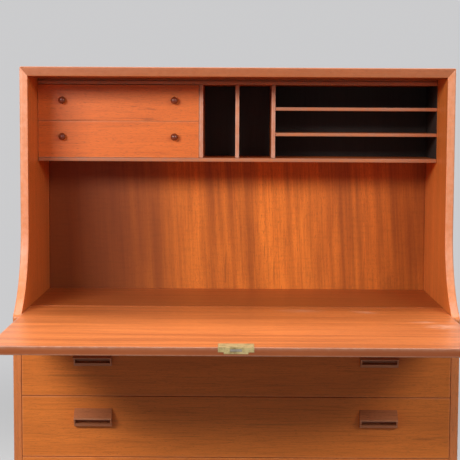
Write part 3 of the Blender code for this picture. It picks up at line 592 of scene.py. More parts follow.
def metal(name, colour, tarnish, rough):
    """Brushed metal with tarnish in clouds."""
    material, tree, shader = new_material(name)
    place = add_node(tree, "ShaderNodeTexCoord", (-1200, 0)).outputs["Object"]
    clouds = noise(tree, (-900, 200), place, (60, 60, 60), 4.0, 0.6)
    clouds = remap(tree, (-600, 200), clouds, 0.4, 0.7)
    tree.links.new(blend_colours(tree, (-300, 200), clouds, colour, tarnish), shader.inputs["Base Color"])
    hairs = noise(tree, (-900, -100), place, BRUSHED)
    rougher = maths(tree, "MULTIPLY", (-450, -50), hairs, 0.2)
    rougher = maths(tree, "ADD", (-300, -50), rougher, rough - 0.1)
    cloudy = maths(tree, "MULTIPLY", (-300, 50), clouds, 0.12)
    tree.links.new(maths(tree, "ADD", (-150, -50), rougher, cloudy, True), shader.inputs["Roughness"])
    raise_bumps(tree, shader, hairs, 0.15, 0.0001)
    shader.inputs["Metallic"].default_value = 1.0
    return material


brass = metal("brushed_brass", (0.60, 0.47, 0.22), (0.26, 0.19, 0.08), 0.46)
steel = metal("filed_steel", (0.40, 0.36, 0.30), (0.28, 0.24, 0.19), 0.45)
print("metal finishes made")

# %% [markdown]
# ## Swept sides
# Each side is one board, straight above, and brought forward below in a hollow curve to carry the
# drawers. Sawing an outline out of a board would leave sharp edges, so the side is built from its
# foot up instead, as a pile of level slices. Each slice is a rectangle with rounded corners, large
# ones at the outside where the edge shines, and its front follows the curve. The top end is cut
# off along the mitre by holding every point below the mitre's plane.
# %% Swept sides
OUTER_ARRIS = 0.0032
INNER_ARRIS = 0.0012
BACK_ARRIS = 0.0008
MITRE_GAP = 0.00012
ARRISES = (INNER_ARRIS, OUTER_ARRIS, BACK_ARRIS)
FOOT_ROUND = ((0.0, 0.0010), (0.0004, 0.0003), (0.0010, 0.0))
ARC_STEPS = 7
PALE_EDGE_RISE = 0.06
LEAST_PALE_EDGE = 0.45
hollow_rise = np.sqrt(SWEEP_RADIUS ** 2 - (SWEEP_RADIUS - (UPPER_FRONT - LOWER_FRONT)) ** 2)
hollow_y = UPPER_FRONT - SWEEP_RADIUS
hollow_z = SURFACE - SWEEP_FOOT + hollow_rise
shoulder_y = LOWER_FRONT + SHOULDER_RADIUS
shoulder_across = shoulder_y - hollow_y
shoulder_z = hollow_z - np.sqrt((SWEEP_RADIUS + SHOULDER_RADIUS) ** 2 - shoulder_across ** 2)
meeting_angle = np.arccos(shoulder_across / (SWEEP_RADIUS + SHOULDER_RADIUS))


def front_line():
    """(Y, Z) points of the front edge: foot, shoulder arc, hollow arc and upper edge."""
    shoulder = np.linspace(np.pi, np.pi - meeting_angle, 9)
    shoulder = np.stack([shoulder_y + SHOULDER_RADIUS * np.cos(shoulder),
                         shoulder_z + SHOULDER_RADIUS * np.sin(shoulder)], -1)
    hollow = np.linspace(-meeting_angle, 0, 33)[1:]
    hollow = np.stack([hollow_y + SWEEP_RADIUS * np.cos(hollow),
                       hollow_z + SWEEP_RADIUS * np.sin(hollow)], -1)
    return np.concatenate([shoulder, hollow])


def corner(centre_one, centre_two, radius, start, steps=5):
    """A quarter round from an angle on, for every slice at once."""
    angles = np.radians(start) + np.linspace(0, np.pi / 2, steps)
    return centre_one + radius * np.cos(angles), centre_two + radius * np.sin(angles)


def slice_corners(width, depth, radii, inset):
    """Rounded rectangles, one a slice: across and back from the front inner corner, with wear."""
    inner, outer, rear = radii
    parts = [
        corner(inset + inner, inset + inner, inner, 180),
        corner(width - inset - outer, inset + outer, outer, 270),
        corner(width - inset - rear, depth - inset - rear, rear, 0),
        corner(inset + rear, depth - inset - rear, rear, 90),
    ]
    none = np.zeros_like(width)
    plain = [
        (none + inner + WEAR_REACH, none + inset), (width - outer - WEAR_REACH, none + inset),
        (width - inset, none + outer + WEAR_REACH), (width - inset, depth - rear - WEAR_REACH),
        (none + inset, depth - rear - WEAR_REACH), (none + inset, none + inner + WEAR_REACH),
    ]
    order = [parts[0], plain[0], plain[1], parts[1], plain[2], plain[3], parts[2], parts[3], *plain[4:]]
    across, back = (
        np.concatenate([np.broadcast_to(part[axis], (len(width), part[axis].shape[-1])) for part in order], 1)
        for axis in (0, 1)
    )
    closeness = (1, 1, 1, 1, 0, 0, 1, 1, 0, 0)
    wear = np.concatenate([np.full(part[0].shape[-1], close) for part, close in zip(order, closeness)])
    return across, back, wear


def swept_side(sign):
    """Slices from the foot to the mitre, each with its own front, held below the mitre's plane."""
    foot = np.array([(LOWER_FRONT, CASE_BASE + level) for level, _ in FOOT_ROUND])
    crown = TOP - OUTER_ARRIS + OUTER_ARRIS * np.sin(np.linspace(0, np.pi / 2, ARC_STEPS))
    crown = np.stack([np.full(ARC_STEPS, UPPER_FRONT), crown], -1)
    edge = np.concatenate([foot, front_line(), crown])
    levels = edge[:, 1:]
    drop = np.clip(levels - (TOP - OUTER_ARRIS), 0, OUTER_ARRIS)
    pulled_in = OUTER_ARRIS - np.sqrt(np.maximum(OUTER_ARRIS ** 2 - drop ** 2, 0))
    inset = np.zeros_like(levels)
    inset[:len(FOOT_ROUND), 0] = [drawn_in for _, drawn_in in FOOT_ROUND]
    width = HALF_WIDTH - INNER_HALF - pulled_in
    across, back, wear = slice_corners(width, BACK - edge[:, :1], ARRISES, inset)
    slope = (TOP - TOP_UNDER) / (HALF_WIDTH - INNER_HALF)
    plane = TOP_UNDER + slope * across - MITRE_GAP
    x = sign * (INNER_HALF + across)
    y = edge[:, :1] + back
    z = np.minimum(np.broadcast_to(levels, across.shape), plane)
    rows = np.stack([x, y, z], -1)
    quads, caps = joined_rows(rows)
    # The pale front edge is full from 6 cm above the writing surface up, and fades to 0.45 of it at the
    # writing surface and below.
    pale_share = np.clip((levels - SURFACE) / PALE_EDGE_RISE, LEAST_PALE_EDGE, 1.0)
    return rows.reshape(-1, 3), quads, caps, (pale_share * wear).reshape(-1)


for side, sign in zip(HANDS, (-1, 1)):
    piece = make_piece("side_" + side + "_wood", swept_side(sign), "case", teak_z, ["side_" + side])
    print(piece.name, len(piece.data.polygons), "faces")

# %% [markdown]
# ## The top
# The top is the same kind of carried section, lying down: a rounded rectangle in Y and Z is
# carried along X and stopped at the mitre at both ends. Its upper front arris lines up with the
# sides' outer arrises, so that one bright line runs round the whole front.
# %% Top board
def mitred_top():
    """Rounded sections from end to end, whose top dips round the outer arris, held inside the mitres."""
    quarter = HALF_WIDTH - OUTER_ARRIS + OUTER_ARRIS * np.sin(np.linspace(0, np.pi / 2, ARC_STEPS))
    places = np.concatenate([-quarter[::-1], [0.0], quarter])[:, None]
    over = np.clip(np.abs(places) - (HALF_WIDTH - OUTER_ARRIS), 0, OUTER_ARRIS)
    dip = OUTER_ARRIS - np.sqrt(np.maximum(OUTER_ARRIS ** 2 - over ** 2, 0))
    height = TOP - TOP_UNDER - dip
    depth = np.full_like(height, BACK - UPPER_FRONT)
    up, back, wear = slice_corners(height, depth, ARRISES, np.zeros_like(height))
    limit = INNER_HALF + up * (HALF_WIDTH - INNER_HALF) / (TOP - TOP_UNDER) - MITRE_GAP
    x = np.clip(np.broadcast_to(places, up.shape), -limit, limit)
    rows = np.stack([x, UPPER_FRONT + back, TOP_UNDER + up], -1)
    quads, caps = joined_rows(rows)
    return rows.reshape(-1, 3), quads, caps, np.tile(wear, len(rows))


piece = make_piece("top_board_wood", mitred_top(), "case", teak_x, ["top_board"])
print(piece.name, len(piece.data.polygons), "faces")

# %% [markdown]
# ## Plain boards
# The rest of the case and the pigeonhole unit are flat boards. What changes is the size of the
# arris and the way the grain runs: along the longest side, as a joiner would cut them. The thin
# boards of the unit are pale over their whole front edge, partly paler edge wood, partly painted highlight.
# %% Case and unit boards
BOARDS = (
    ("desk_board", 0.0006, teak_inner, "teak"), ("ledge_board", 0.0008, teak_x, "teak"),
    ("front_rail", 0.0010, teak_x, "teak"), ("bottom_board", 0.0012, teak_x, "teak"),
    ("unit_top", 0.0014, teak_unit_x, "teak"), ("unit_bottom", 0.0016, teak_unit_x, "teak"),
    ("divider_left", 0.0014, teak_unit_z, "teak"), ("divider_middle", 0.0014, teak_unit_z, "teak"),
    ("divider_right", 0.0014, teak_unit_z, "teak"), ("shelf_lower", 0.0014, teak_unit_x, "teak"),
    ("shelf_upper", 0.0014, teak_unit_x, "teak"), ("drawer_shelf", 0.0006, plywood_x, "plywood"),
    ("upper_back", 0.0006, ribbon, "ribbon_veneer"), ("lower_back", 0.0006, plywood_x, "plywood"),
    ("leg_rail_left", 0.0025, teak_y, "teak"), ("leg_rail_right", 0.0025, teak_y, "teak"),
)
RUNNERS = ["runner_{}_{}".format(number, side) for number in (1, 2, 3) for side in HANDS]
# On the unit's boards the pale strip covers the whole front edge, partly as a painted highlight.
THIN_STRIP = 0.012
for node, radius, material, slot in BOARDS:
    strip = THIN_STRIP if material in (teak_unit_x, teak_unit_z) else WEAR_REACH
    make_piece(node + "_wood", framed_board(node, radius, strip), "case", material, [node])
for node in RUNNERS:
    make_piece(node + "_wood", framed_board(node, 0.0012), "case", box_wood_y, [node])
print(len(BOARDS) + len(RUNNERS), "boards")

# %% [markdown]
# ## What closes the pigeonholes
# The pigeonholes look black inside: a thin near-black sheet backs each of them, and another lines
# the right end of each shelf opening, as painted shade for the dark inside. A batten, set a little
# back, fills the slit between the unit and the top. Both are measured from the boards round them.
# %% Backing sheets and batten
SHEET_GAP = 0.0001
SHEET_THICKNESS = 0.0012
SHEET_SETBACK = 0.004
BATTEN_SETBACK = 0.003
BATTEN_DEPTH = 0.020
unit_front, unit_rear = (point.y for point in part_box("divider_left"))


def backing(left, right, under, over):
    """A sheet that fills the opening between two uprights and two levels, against the back."""
    rear = unit_rear - SHEET_GAP
    low = (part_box(left)[1].x + SHEET_GAP, rear - SHEET_THICKNESS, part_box(under)[1].z + SHEET_GAP)
    high = (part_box(right)[0].x - SHEET_GAP, rear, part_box(over)[0].z - SHEET_GAP)
    return soft_board(low, high, 0.0002)


openings = [
    ("divider_left", "divider_middle", "unit_bottom", "unit_top"),
    ("divider_middle", "divider_right", "unit_bottom", "unit_top"),
    ("divider_right", "side_right", "unit_bottom", "shelf_lower"),
    ("divider_right", "side_right", "shelf_lower", "shelf_upper"),
    ("divider_right", "side_right", "shelf_upper", "unit_top"),
]
# Painted shade: near-black sheets at the back of each pigeonhole, where there is only shade.
for number, opening in enumerate(openings, 1):
    make_piece("backing_sheet_{}".format(number), backing(*opening), "case", painted_shade_finish)
end_openings = [opening for opening in openings if opening[1] == "side_right"]
# Painted shade: near-black sheets on the right end of the shelf openings.
for number, (_, _, under, over) in enumerate(end_openings, 1):
    outer = INNER_HALF - SHEET_GAP
    low = (outer - SHEET_THICKNESS, unit_front + SHEET_SETBACK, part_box(under)[1].z + SHEET_GAP)
    high = (outer, unit_rear - SHEET_THICKNESS - 3 * SHEET_GAP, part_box(over)[0].z - SHEET_GAP)
    make_piece("end_sheet_{}".format(number), soft_board(low, high, 0.0002), "case", painted_shade_finish)
unit_low, unit_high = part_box("unit_top")
batten_front = unit_low.y + BATTEN_SETBACK
batten = soft_board((unit_low.x, batten_front, unit_high.z + SHEET_GAP),
                    (unit_high.x, batten_front + BATTEN_DEPTH, TOP_UNDER - SHEET_GAP), 0.0004)
make_piece("unit_batten", batten, "case", teak_inner)
print(len(openings) + len(end_openings), "sheets and a batten")

# %% [markdown]
# ## The flap
# The flap turns on two pins in its ends, so its heel is a half round about the pins. The lock is
# let in at the middle of its free edge. The housing is shaped with the flap: the section is
# carried along X, and where the lock sits, the same points step down into the wood.
# %% Flap
lock_low, lock_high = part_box("lock_case")
PLATE_SHEET = 0.0016
STRIP_HEIGHT = 0.009
WORKS_WIDTH = 0.046
WORKS_DEPTH = 0.034
LET_IN = 0.0003
FLAP_ARRIS = 0.0016
END_GAP = 0.0002
END_ROUND = 0.0008
END_ZONE = 0.01


def quarter_points(y, z, radius, start, steps=6):
    """A quarter round in Y and Z from an angle on."""
    angles = np.radians(start) + np.linspace(0, np.pi / 2, steps)
    return np.stack([y + radius * np.cos(angles), z + radius * np.sin(angles)], -1)


def flap_sections():
    """The plain section, the one under the lock's plate and the one through its works."""
    top, under, edge = flap_high.z, flap_low.z, flap_low.y
    middle = (top + under) / 2
    radius = (top - under) / 2
    turn = np.radians(np.linspace(90, -90, 17))
    heel = np.stack([flap_high.y - radius + radius * np.cos(turn), middle + radius * np.sin(turn)], -1)
    lower = quarter_points(edge + FLAP_ARRIS, under + FLAP_ARRIS, FLAP_ARRIS, 180)[::-1]
    upper = quarter_points(edge + FLAP_ARRIS, top - FLAP_ARRIS, FLAP_ARRIS, 90)[::-1]
    sunk = PLATE_SHEET + LET_IN
    floor = top - sunk
    strip_foot = top - STRIP_HEIGHT - LET_IN
    works_foot = lock_low.z - LET_IN
    works_back = edge + WORKS_DEPTH + LET_IN
    plate_back = lock_high.y + LET_IN
    near = edge + WEAR_REACH + FLAP_ARRIS
    plain = np.array(2 * [[works_back, top]] + 2 * [[plate_back, top]])
    plate = np.array(2 * [[works_back, floor]] + [[plate_back, floor], [plate_back, top]])
    works = np.array([[works_back, works_foot], [works_back, floor], [plate_back, floor], [plate_back, top]])
    face = np.array(2 * [[edge, works_foot]] + 2 * [[edge, strip_foot]])
    plate_face = np.array(2 * [[edge, works_foot]] + [[edge, strip_foot], [edge + sunk, strip_foot]])
    works_face = np.array([[edge, works_foot]] + 3 * [[works_back, works_foot]])
    plate_arris = np.repeat([[edge + sunk, floor]], len(upper), 0)
    works_arris = np.repeat([[works_back, works_foot]], len(upper), 0)
    parts = (heel, lower, face, upper, np.array([[near, top]]), plain)
    first = np.concatenate(parts)
    second = np.concatenate([heel, lower, plate_face, plate_arris, np.array([[near, floor]]), plate])
    third = np.concatenate([heel, lower, works_face, works_arris, works_arris[:1], works])
    rubbed = (0.0, 1.0, 0.0, 1.0, 0.0, 0.0)
    wear = np.concatenate([np.full(len(part), paled) for part, paled in zip(parts, rubbed)])
    return first, second, third, wear


def shrunk(section, amount):
    """A section drawn in towards its middle line by an amount, for the rounded ends."""
    middle = (flap_low.z + flap_high.z) / 2
    inner = section.copy()
    inner[:, 1] -= np.sign(inner[:, 1] - middle) * np.minimum(amount, np.abs(inner[:, 1] - middle))
    ends = (flap_low.y + END_ZONE, flap_high.y - END_ZONE)
    inner[:, 0] = np.where(inner[:, 0] < ends[0], inner[:, 0] + amount, inner[:, 0])
    inner[:, 0] = np.where(inner[:, 0] > ends[1], inner[:, 0] - amount, inner[:, 0])
    return inner


def flap_shape():
    """Sections along X: rounded ends, plain wood, the plate's housing and the works' housing."""
    plain, plate, works, wear = flap_sections()
    half = flap_high.x - END_GAP
    plate_half = lock_high.x + LET_IN
    works_half = WORKS_WIDTH / 2 + LET_IN
    places = [
        (half, shrunk(plain, END_ROUND)), (half - 0.3 * END_ROUND, shrunk(plain, 0.3 * END_ROUND)),
        (half - END_ROUND, plain), (half - END_ROUND - WEAR_REACH, plain), (plate_half, plain),
        (plate_half, plate), (works_half, plate), (works_half, works),
    ]
    places = [(-x, section) for x, section in places] + [(x, section) for x, section in places[::-1]]
    rows = np.stack([np.concatenate([np.full((len(section), 1), x), section], 1) for x, section in places])
    edge_wear = np.zeros(len(rows))
    edge_wear[:3] = 1.0
    edge_wear[-3:] = 1.0
    quads, caps = joined_rows(rows)
    wear = np.maximum(np.tile(wear, len(rows)), np.repeat(edge_wear, len(wear)))
    return rows.reshape(-1, 3), quads, caps, wear


flap_piece = make_piece("flap_wood", flap_shape(), "flap", teak_surface, ["flap"])
print("flap:", len(flap_piece.data.polygons), "faces")

# %% [markdown]
# ## Drawer fronts
# The fronts are veneered boards, set flush between the sides. Each is swelled a little into its
# opening, so that the gaps are narrow, and its small arris catches a thin line of light there.
# %% Drawer fronts
def fitted_front(node, swell, radius):
    """A front that fills its opening: its node's box, swelled up, down and to the sides."""
    low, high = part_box(node)
    grow = Vector((swell, 0.0, swell))
    return soft_board(low - grow, high + grow, radius)


FRONTS = [(name, 0.0005, 0.0012, teak_fronts) for name in WIDE_DRAWERS]
FRONTS += [(name, 0.0004, 0.0006, teak_small_fronts) for name in SMALL_DRAWERS]
for name, swell, radius, material in FRONTS:
    node = name + "_front"
    make_piece(node + "_wood", fitted_front(node, swell, radius), name, material, [node])
print(len(FRONTS), "fronts")

# %% [markdown]
# ## Drawer boxes
# Behind each front is a plain box. A wide drawer has two sides and a back round a thin floor; a
# small one has four walls and a floor. Each is several boards, softened more along the top edge
# where hands reach in, and kept as one piece because glue makes it one.
# %% Drawer boxes
WIDE_WALL = 0.012
SMALL_WALL = 0.006
SMALL_FLOOR = 0.004
SEAM = 0.0001
BACK_DROP = 0.002
BACK_SETBACK = 0.001


def wide_box(node):
    """Two sides the full depth, and a back between them."""
    low, high = (np.array(point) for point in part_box(node))
    left = soft_board(low, (low[0] + WIDE_WALL, high[1], high[2]), 0.0022)
    right = soft_board((high[0] - WIDE_WALL, low[1], low[2]), high, 0.0022)
    back_low = (low[0] + WIDE_WALL + SEAM, high[1] - WIDE_WALL, low[2])
    back_high = (high[0] - WIDE_WALL - SEAM, high[1] - BACK_SETBACK, high[2] - BACK_DROP)
    return together(left, right), soft_board(back_low, back_high, 0.0018)


def small_box(node):
    """Two long walls, two short walls between them, and a floor inside."""
    low, high = (np.array(point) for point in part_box(node))
    inner_low = low + (SMALL_WALL + SEAM, SMALL_WALL + SEAM, 0)
    inner_high = high - (SMALL_WALL + SEAM, SMALL_WALL + SEAM, 0)
    walls = [
        soft_board(low, (low[0] + SMALL_WALL, high[1], high[2]), 0.0012),
        soft_board((high[0] - SMALL_WALL, low[1], low[2]), high, 0.0012),
        soft_board((inner_low[0], low[1], low[2]), (inner_high[0], low[1] + SMALL_WALL, high[2]), 0.0012),
        soft_board((inner_low[0], high[1] - SMALL_WALL, low[2]), (inner_high[0], high[1], high[2]), 0.0012),
    ]
    floor = soft_board(inner_low, (inner_high[0], inner_high[1], low[2] + SMALL_FLOOR), 0.0004)
    return together(*walls), floor


for name in WIDE_DRAWERS:
    sides, back = wide_box(name + "_sides")
    floor = name + "_floor"
    make_piece(name + "_sides_wood", sides, name, box_wood_y, [name + "_sides"])
    make_piece(name + "_back_wood", back, name, box_wood_x)
    make_piece(floor + "_wood", framed_board(floor, 0.0004), name, plywood_x, [floor])
for name in SMALL_DRAWERS:
    walls, floor = small_box(name + "_box")
    make_piece(name + "_walls_wood", walls, name, box_wood_y, [name + "_box"])
    make_piece(name + "_floor_wood", floor, name, plywood_x)
print(len(WIDE_DRAWERS + SMALL_DRAWERS), "drawer boxes")

# %% [markdown]
# ## Turned knobs and legs
# A turned piece is a profile spun about its axis. The knob is a domed button on a waisted neck,
# so its profile is a smooth curve through a few radii and heights. The leg is a long taper with a
# faint swell, and quarter rounds at its shoulder and its foot.
# %% Turning
def smooth_profile(points, per_span=5):
    """A Catmull-Rom curve through the points: in each span a cubic shaped by its neighbours."""
    points = np.array(points, float)
    padded = np.concatenate([points[:1], points, points[-1:]])
    steps = np.linspace(0, 1, per_span, endpoint=False)[:, None]
    spans = []
    for start in range(len(points) - 1):
        before, here, after, later = padded[start:start + 4]
        spans.append(0.5 * (2 * here + (after - before) * steps
                            + (2 * before - 5 * here + 4 * after - later) * steps ** 2
                            + (3 * here - before - 3 * after + later) * steps ** 3))
    return np.concatenate(spans + [points[-1:]])


def square_axes(axis):
    """An axis as an array, and two directions square to it; the axis isn't along X."""
    axis = np.array(axis, float)
    one = np.cross(axis, (1.0, 0.0, 0.0))
    return axis, one, np.cross(axis, one)


def turned(profile, centre, axis, segments, wear):
    """Spin (radius, distance along the axis) points about an axis through a centre."""
    profile = np.array(profile, float)
    angles = np.linspace(0, 2 * np.pi, segments, endpoint=False)
    axis, one, two = square_axes(axis)
    ring = np.cos(angles)[:, None] * one + np.sin(angles)[:, None] * two
    rows = np.array(centre) + profile[:, 1, None, None] * axis + profile[:, 0, None, None] * ring
    quads, caps = joined_rows(rows)
    return rows.reshape(-1, 3), quads, caps, np.repeat(wear, segments)


TURNED_SMOOTH = 50.0
# Shares of the radius, with depths behind the face for the head and heights above the seat below.
KNOB_HEAD = ((0.02, 0.0), (0.36, 0.0005), (0.66, 0.0017), (0.88, 0.0038), (0.99, 0.0064),
             (0.92, 0.0090), (0.70, 0.0110), (0.50, 0.0126))
KNOB_NECK = ((0.46, 0.0032), (0.54, 0.0006), (0.56, 0.0))


def knob_shape(node):
    """A domed button on a waisted neck, spun about Y."""
    low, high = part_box(node)
    radius = (high.x - low.x) / 2
    length = high.y - low.y
    centre = ((low.x + high.x) / 2, high.y, (low.z + high.z) / 2)
    points = [(share * radius, length - depth) for share, depth in KNOB_HEAD]
    points += [(share * radius, height) for share, height in KNOB_NECK]
    face = smooth_profile(points)
    face = np.maximum(face, 0)
    face[:, 1] = np.minimum(face[:, 1], length)
    closeness = np.exp(-((face[:, 0] / radius - 0.75) / 0.2) ** 2) * (face[:, 1] > length - 0.005)
    return turned(face, centre, (0, -1, 0), 40, closeness)


for name in SMALL_DRAWERS:
    for side in HANDS:
        node = "{}_knob_{}".format(name, side)
        make_piece(node + "_wood", knob_shape(node), name, knob_wood, [node], TURNED_SMOOTH)

LEG_SHOULDER = 0.003
LEG_FOOT = 0.011
LEG_TIP = 0.0012
LEG_SWELL = 0.0012
DOWEL_RADIUS = 0.0095
RAIL_GAP = 0.0003


def leg_shape(node):
    """A long taper with a rounded shoulder and a rounded foot, and its dowel above."""
    low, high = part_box(node)
    centre = ((low.x + high.x) / 2, (low.y + high.y) / 2, 0.0)
    radius = (high.x - low.x) / 2
    rail_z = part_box("leg_rail_left")[0].z - RAIL_GAP
    shoulder_z = rail_z - LEG_SHOULDER
    shoulder = quarter_points(radius - LEG_SHOULDER, shoulder_z, LEG_SHOULDER, 0)[::-1]
    tip = quarter_points(LEG_FOOT - LEG_TIP, LEG_TIP, LEG_TIP, 270)[::-1]
    down = np.linspace(0, 1, 14)[1:-1]
    taper = radius + (LEG_FOOT - radius) * down + LEG_SWELL * np.sin(np.pi * down)
    taper = np.stack([taper, shoulder_z * (1 - down)], -1)
    dowel = [(0.0, high.z), (DOWEL_RADIUS, high.z), (DOWEL_RADIUS, rail_z)]
    profile = np.concatenate([dowel, shoulder, taper, tip, [(0.0, 0.0)]])
    closeness = np.zeros(len(profile))
    closeness[-8:-2] = 1.0  # the round of the foot, where floors rub it
    return turned(profile, centre, (0, 0, 1), 56, closeness)


for end in ("front", "back"):
    for side in HANDS:
        node = "leg_{}_{}".format(end, side)
        make_piece(node + "_wood", leg_shape(node), "case", teak_z, [node], TURNED_SMOOTH)
print("knobs and legs turned")

# %% [markdown]
# ## Carved pulls
# Each wide drawer has two pulls, cut from one block: a sloping hood to stop the fingers, closed at
# both ends, over a hollow that opens downwards and forwards, with a low lip under it. The section
# is carried along X. Between the cheeks its points walk round the hollow, and beyond them the same
# points lie along the closed front, so the cheeks appear by themselves. A Bevel eases the edges.
# %% Pulls
CHEEK = 0.0032
NOSE = 0.0018
NOSE_LEVEL = -0.002
LIP_HEIGHT = 0.007
LIP_REACH = 0.009
HOOD = 0.005
HOLLOW_BACK = 0.003
HOLLOW_ROUND = 0.003
ROOF_RUN = 0.004
ROOF_DROP = 0.006
HOOD_SAG = 0.0006


def pull_shape(node):
    """Closed section, hollow section, hollow section, closed section."""
    low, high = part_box(node)
    middle = (low.z + high.z) / 2
    head = (high.z - low.z) / 2
    reach = high.y - low.y
    lip_z = -head + LIP_HEIGHT
    lip_y = LIP_REACH + (reach - LIP_REACH) * LIP_HEIGHT / (NOSE_LEVEL + head)
    slope = (head - NOSE_LEVEL - NOSE) / reach
    share = np.linspace(0, 1, 5)[1:-1, None]
    hood = np.array([0.0, head]) + share * np.array([reach, NOSE_LEVEL + NOSE - head])
    hood[:, 0] -= HOOD_SAG * np.sin(np.pi * share[:, 0])
    shell = np.concatenate([[[0.0, head]], hood, [[reach, NOSE_LEVEL + NOSE], [reach, NOSE_LEVEL]]])
    lower = np.array([[lip_y, lip_z], [LIP_REACH, -head], [0.0, -head]])
    roof = HOLLOW_BACK + ROOF_RUN
    hollow = np.array([
        [reach - HOOD, NOSE_LEVEL], [reach - HOOD, NOSE_LEVEL + NOSE / 2],
        [roof, head - (HOOD + roof) * slope],
        [HOLLOW_BACK, head - (HOOD + HOLLOW_BACK) * slope - ROOF_DROP],
        [HOLLOW_BACK, lip_z + HOLLOW_ROUND], [HOLLOW_BACK + HOLLOW_ROUND, lip_z],
    ])
    gap = np.linspace(0, 1, len(hollow) + 2)[1:-1, None]
    flat = np.array([reach, NOSE_LEVEL]) + gap * (lower[0] - np.array([reach, NOSE_LEVEL]))
    closed = np.concatenate([shell, flat, lower])
    open_section = np.concatenate([shell, hollow, lower])
    places = [(low.x, closed), (low.x + CHEEK, closed), (low.x + CHEEK, open_section),
              (high.x - CHEEK, open_section), (high.x - CHEEK, closed), (high.x, closed)]
    rows = np.stack([
        np.stack([np.full(len(section), x), high.y - section[:, 0], middle + section[:, 1]], -1)
        for x, section in places
    ])
    wear = np.zeros(len(closed))
    wear[len(shell) - 2:len(shell)] = 1.0
    quads, caps = joined_rows(rows)
    return rows.reshape(-1, 3), quads, caps, np.tile(wear, len(rows))


def ease(piece, width):
    """Round the sharp edges of a finished piece."""
    bevel = piece.modifiers.new("eased_edges", "BEVEL")
    bevel.width = width
    bevel.segments = 2
    bevel.limit_method = "ANGLE"
    bevel.angle_limit = np.radians(35)


for name in WIDE_DRAWERS:
    for side in HANDS:
        node = "{}_pull_{}".format(name, side)
        ease(make_piece(node + "_wood", pull_shape(node), name, dark_teak, [node]), 0.0007)
print("six pulls carved")

# %% [markdown]
# ## Metalwork
# The lock case, its bolt, the keeper and the pivots already have their real shapes, so they keep
# them and get a real finish. Screws hold the lock and the backs: a screw is a round head with a
# slot, made as a row of chords across a disc, two pairs of which step down to form the slot.
# %% Locks and screws
for node in ("lock_case", "keeper_plate", "pivot_left", "pivot_right"):
    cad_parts[node].material_slots[0].material = brass
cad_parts["lock_bolt"].material_slots[0].material = steel


SLOT_HALF = 0.16
SLOT_EDGE = 0.02
SLOT_DEPTH = 0.0006
SCREW_DOME = 0.0003
SCREW_SKIRT = 0.0008
CHORD_POINTS = 9


def screw_shape(centre, normal, radius, turn):
    """Chords across a disc; each point rises with a shallow dome, less the slot's depth."""
    normal, one, two = square_axes(normal)
    one, two = np.cos(turn) * one + np.sin(turn) * two, -np.sin(turn) * one + np.cos(turn) * two
    places = np.concatenate([-np.cos(np.linspace(0, np.pi / 2, CHORD_POINTS))[:-1], [0.0]])
    places = np.concatenate([places[places < -SLOT_HALF - SLOT_EDGE], [-SLOT_HALF, -SLOT_HALF]])
    sunk = np.concatenate([np.zeros(len(places) - 1), [1.0]])
    places = np.concatenate([places, -places[::-1]])
    sunk = np.concatenate([sunk, sunk[::-1]])
    chord = np.sqrt(np.maximum(1 - places ** 2, 0))
    u = np.broadcast_to(places[:, None], (len(places), CHORD_POINTS))
    v = chord[:, None] * np.linspace(-1, 1, CHORD_POINTS)
    rise = SCREW_DOME * (1 - u ** 2 - v ** 2) - sunk[:, None] * SLOT_DEPTH
    face = np.array(centre) + radius * (u[..., None] * one + v[..., None] * two) + rise[..., None] * normal
    base = face - (rise[..., None] + SCREW_SKIRT) * normal
    rows = np.concatenate([face, base[:, ::-1]], 1)
    quads, caps = joined_rows(rows)
    return rows.reshape(-1, 3), quads, caps, np.zeros(rows.shape[0] * rows.shape[1])


LOCK_SCREW_INSET = 0.0055
LOCK_SCREW_STEP = 0.014
plate_y = (flap_low.y + lock_high.y) / 2
lock_screws = [
    screw_shape((sign * (lock_high.x - LOCK_SCREW_INSET), plate_y + step, SURFACE - 0.0001), (0, 0, 1),
                0.0028, 0.5 + 0.9 * sign + 20 * step)
    for sign in (-1, 1) for step in (-LOCK_SCREW_STEP, LOCK_SCREW_STEP)
]
make_piece("lock_screws", together(*lock_screws), "flap", brass)
BACK_SCREW_INSET = 0.02
BACK_SCREW_RIM = 0.008
back_screws = []
for low, high in (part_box("upper_back"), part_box("lower_back")):
    for x in np.linspace(low.x + BACK_SCREW_INSET, high.x - BACK_SCREW_INSET, 6):
        for z in (low.z + BACK_SCREW_RIM, high.z - BACK_SCREW_RIM):
            back_screws.append(screw_shape((x, BACK - 0.0004, z), (0, 1, 0), 0.0032, 7.3 * x + 3.1 * z))
make_piece("back_screws", together(*back_screws), "case", steel)
print(len(lock_screws) + len(back_screws), "screws")

# %% [markdown]
# ## The keyhole plate
# Outside, the key goes in through a small round plate. It is turned like a coin with a raised rim,
# and a round keyhole is sunk into its middle.
# %% Keyhole plate
def escutcheon_shape():
    """A coin with a rounded rim whose middle dips to the keyhole, spun about Z."""
    low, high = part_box("key_escutcheon")
    radius = (high.x - low.x) / 2
    thick = high.z - low.z
    centre = ((low.x + high.x) / 2, (low.y + high.y) / 2, high.z)
    keyhole = [(0.0, 0.15 * thick), (0.0021, 0.15 * thick), (0.0022, 0.8 * thick), (0.0026, 0.93 * thick),
               (0.0034, 0.8 * thick)]
    rim = [(0.75, 0.72), (0.86, 1.0), (0.95, 0.93), (1.0, 0.6), (1.0, 0.0), (0.0, 0.0)]
    profile = keyhole + [(share * radius, height * thick) for share, height in rim]
    return turned(profile, centre, (0, 0, -1), 48, np.zeros(len(profile)))


plate = make_piece("key_escutcheon_plate", escutcheon_shape(), "flap", brass, ["key_escutcheon"])
print(plate.name, len(plate.data.polygons), "faces")

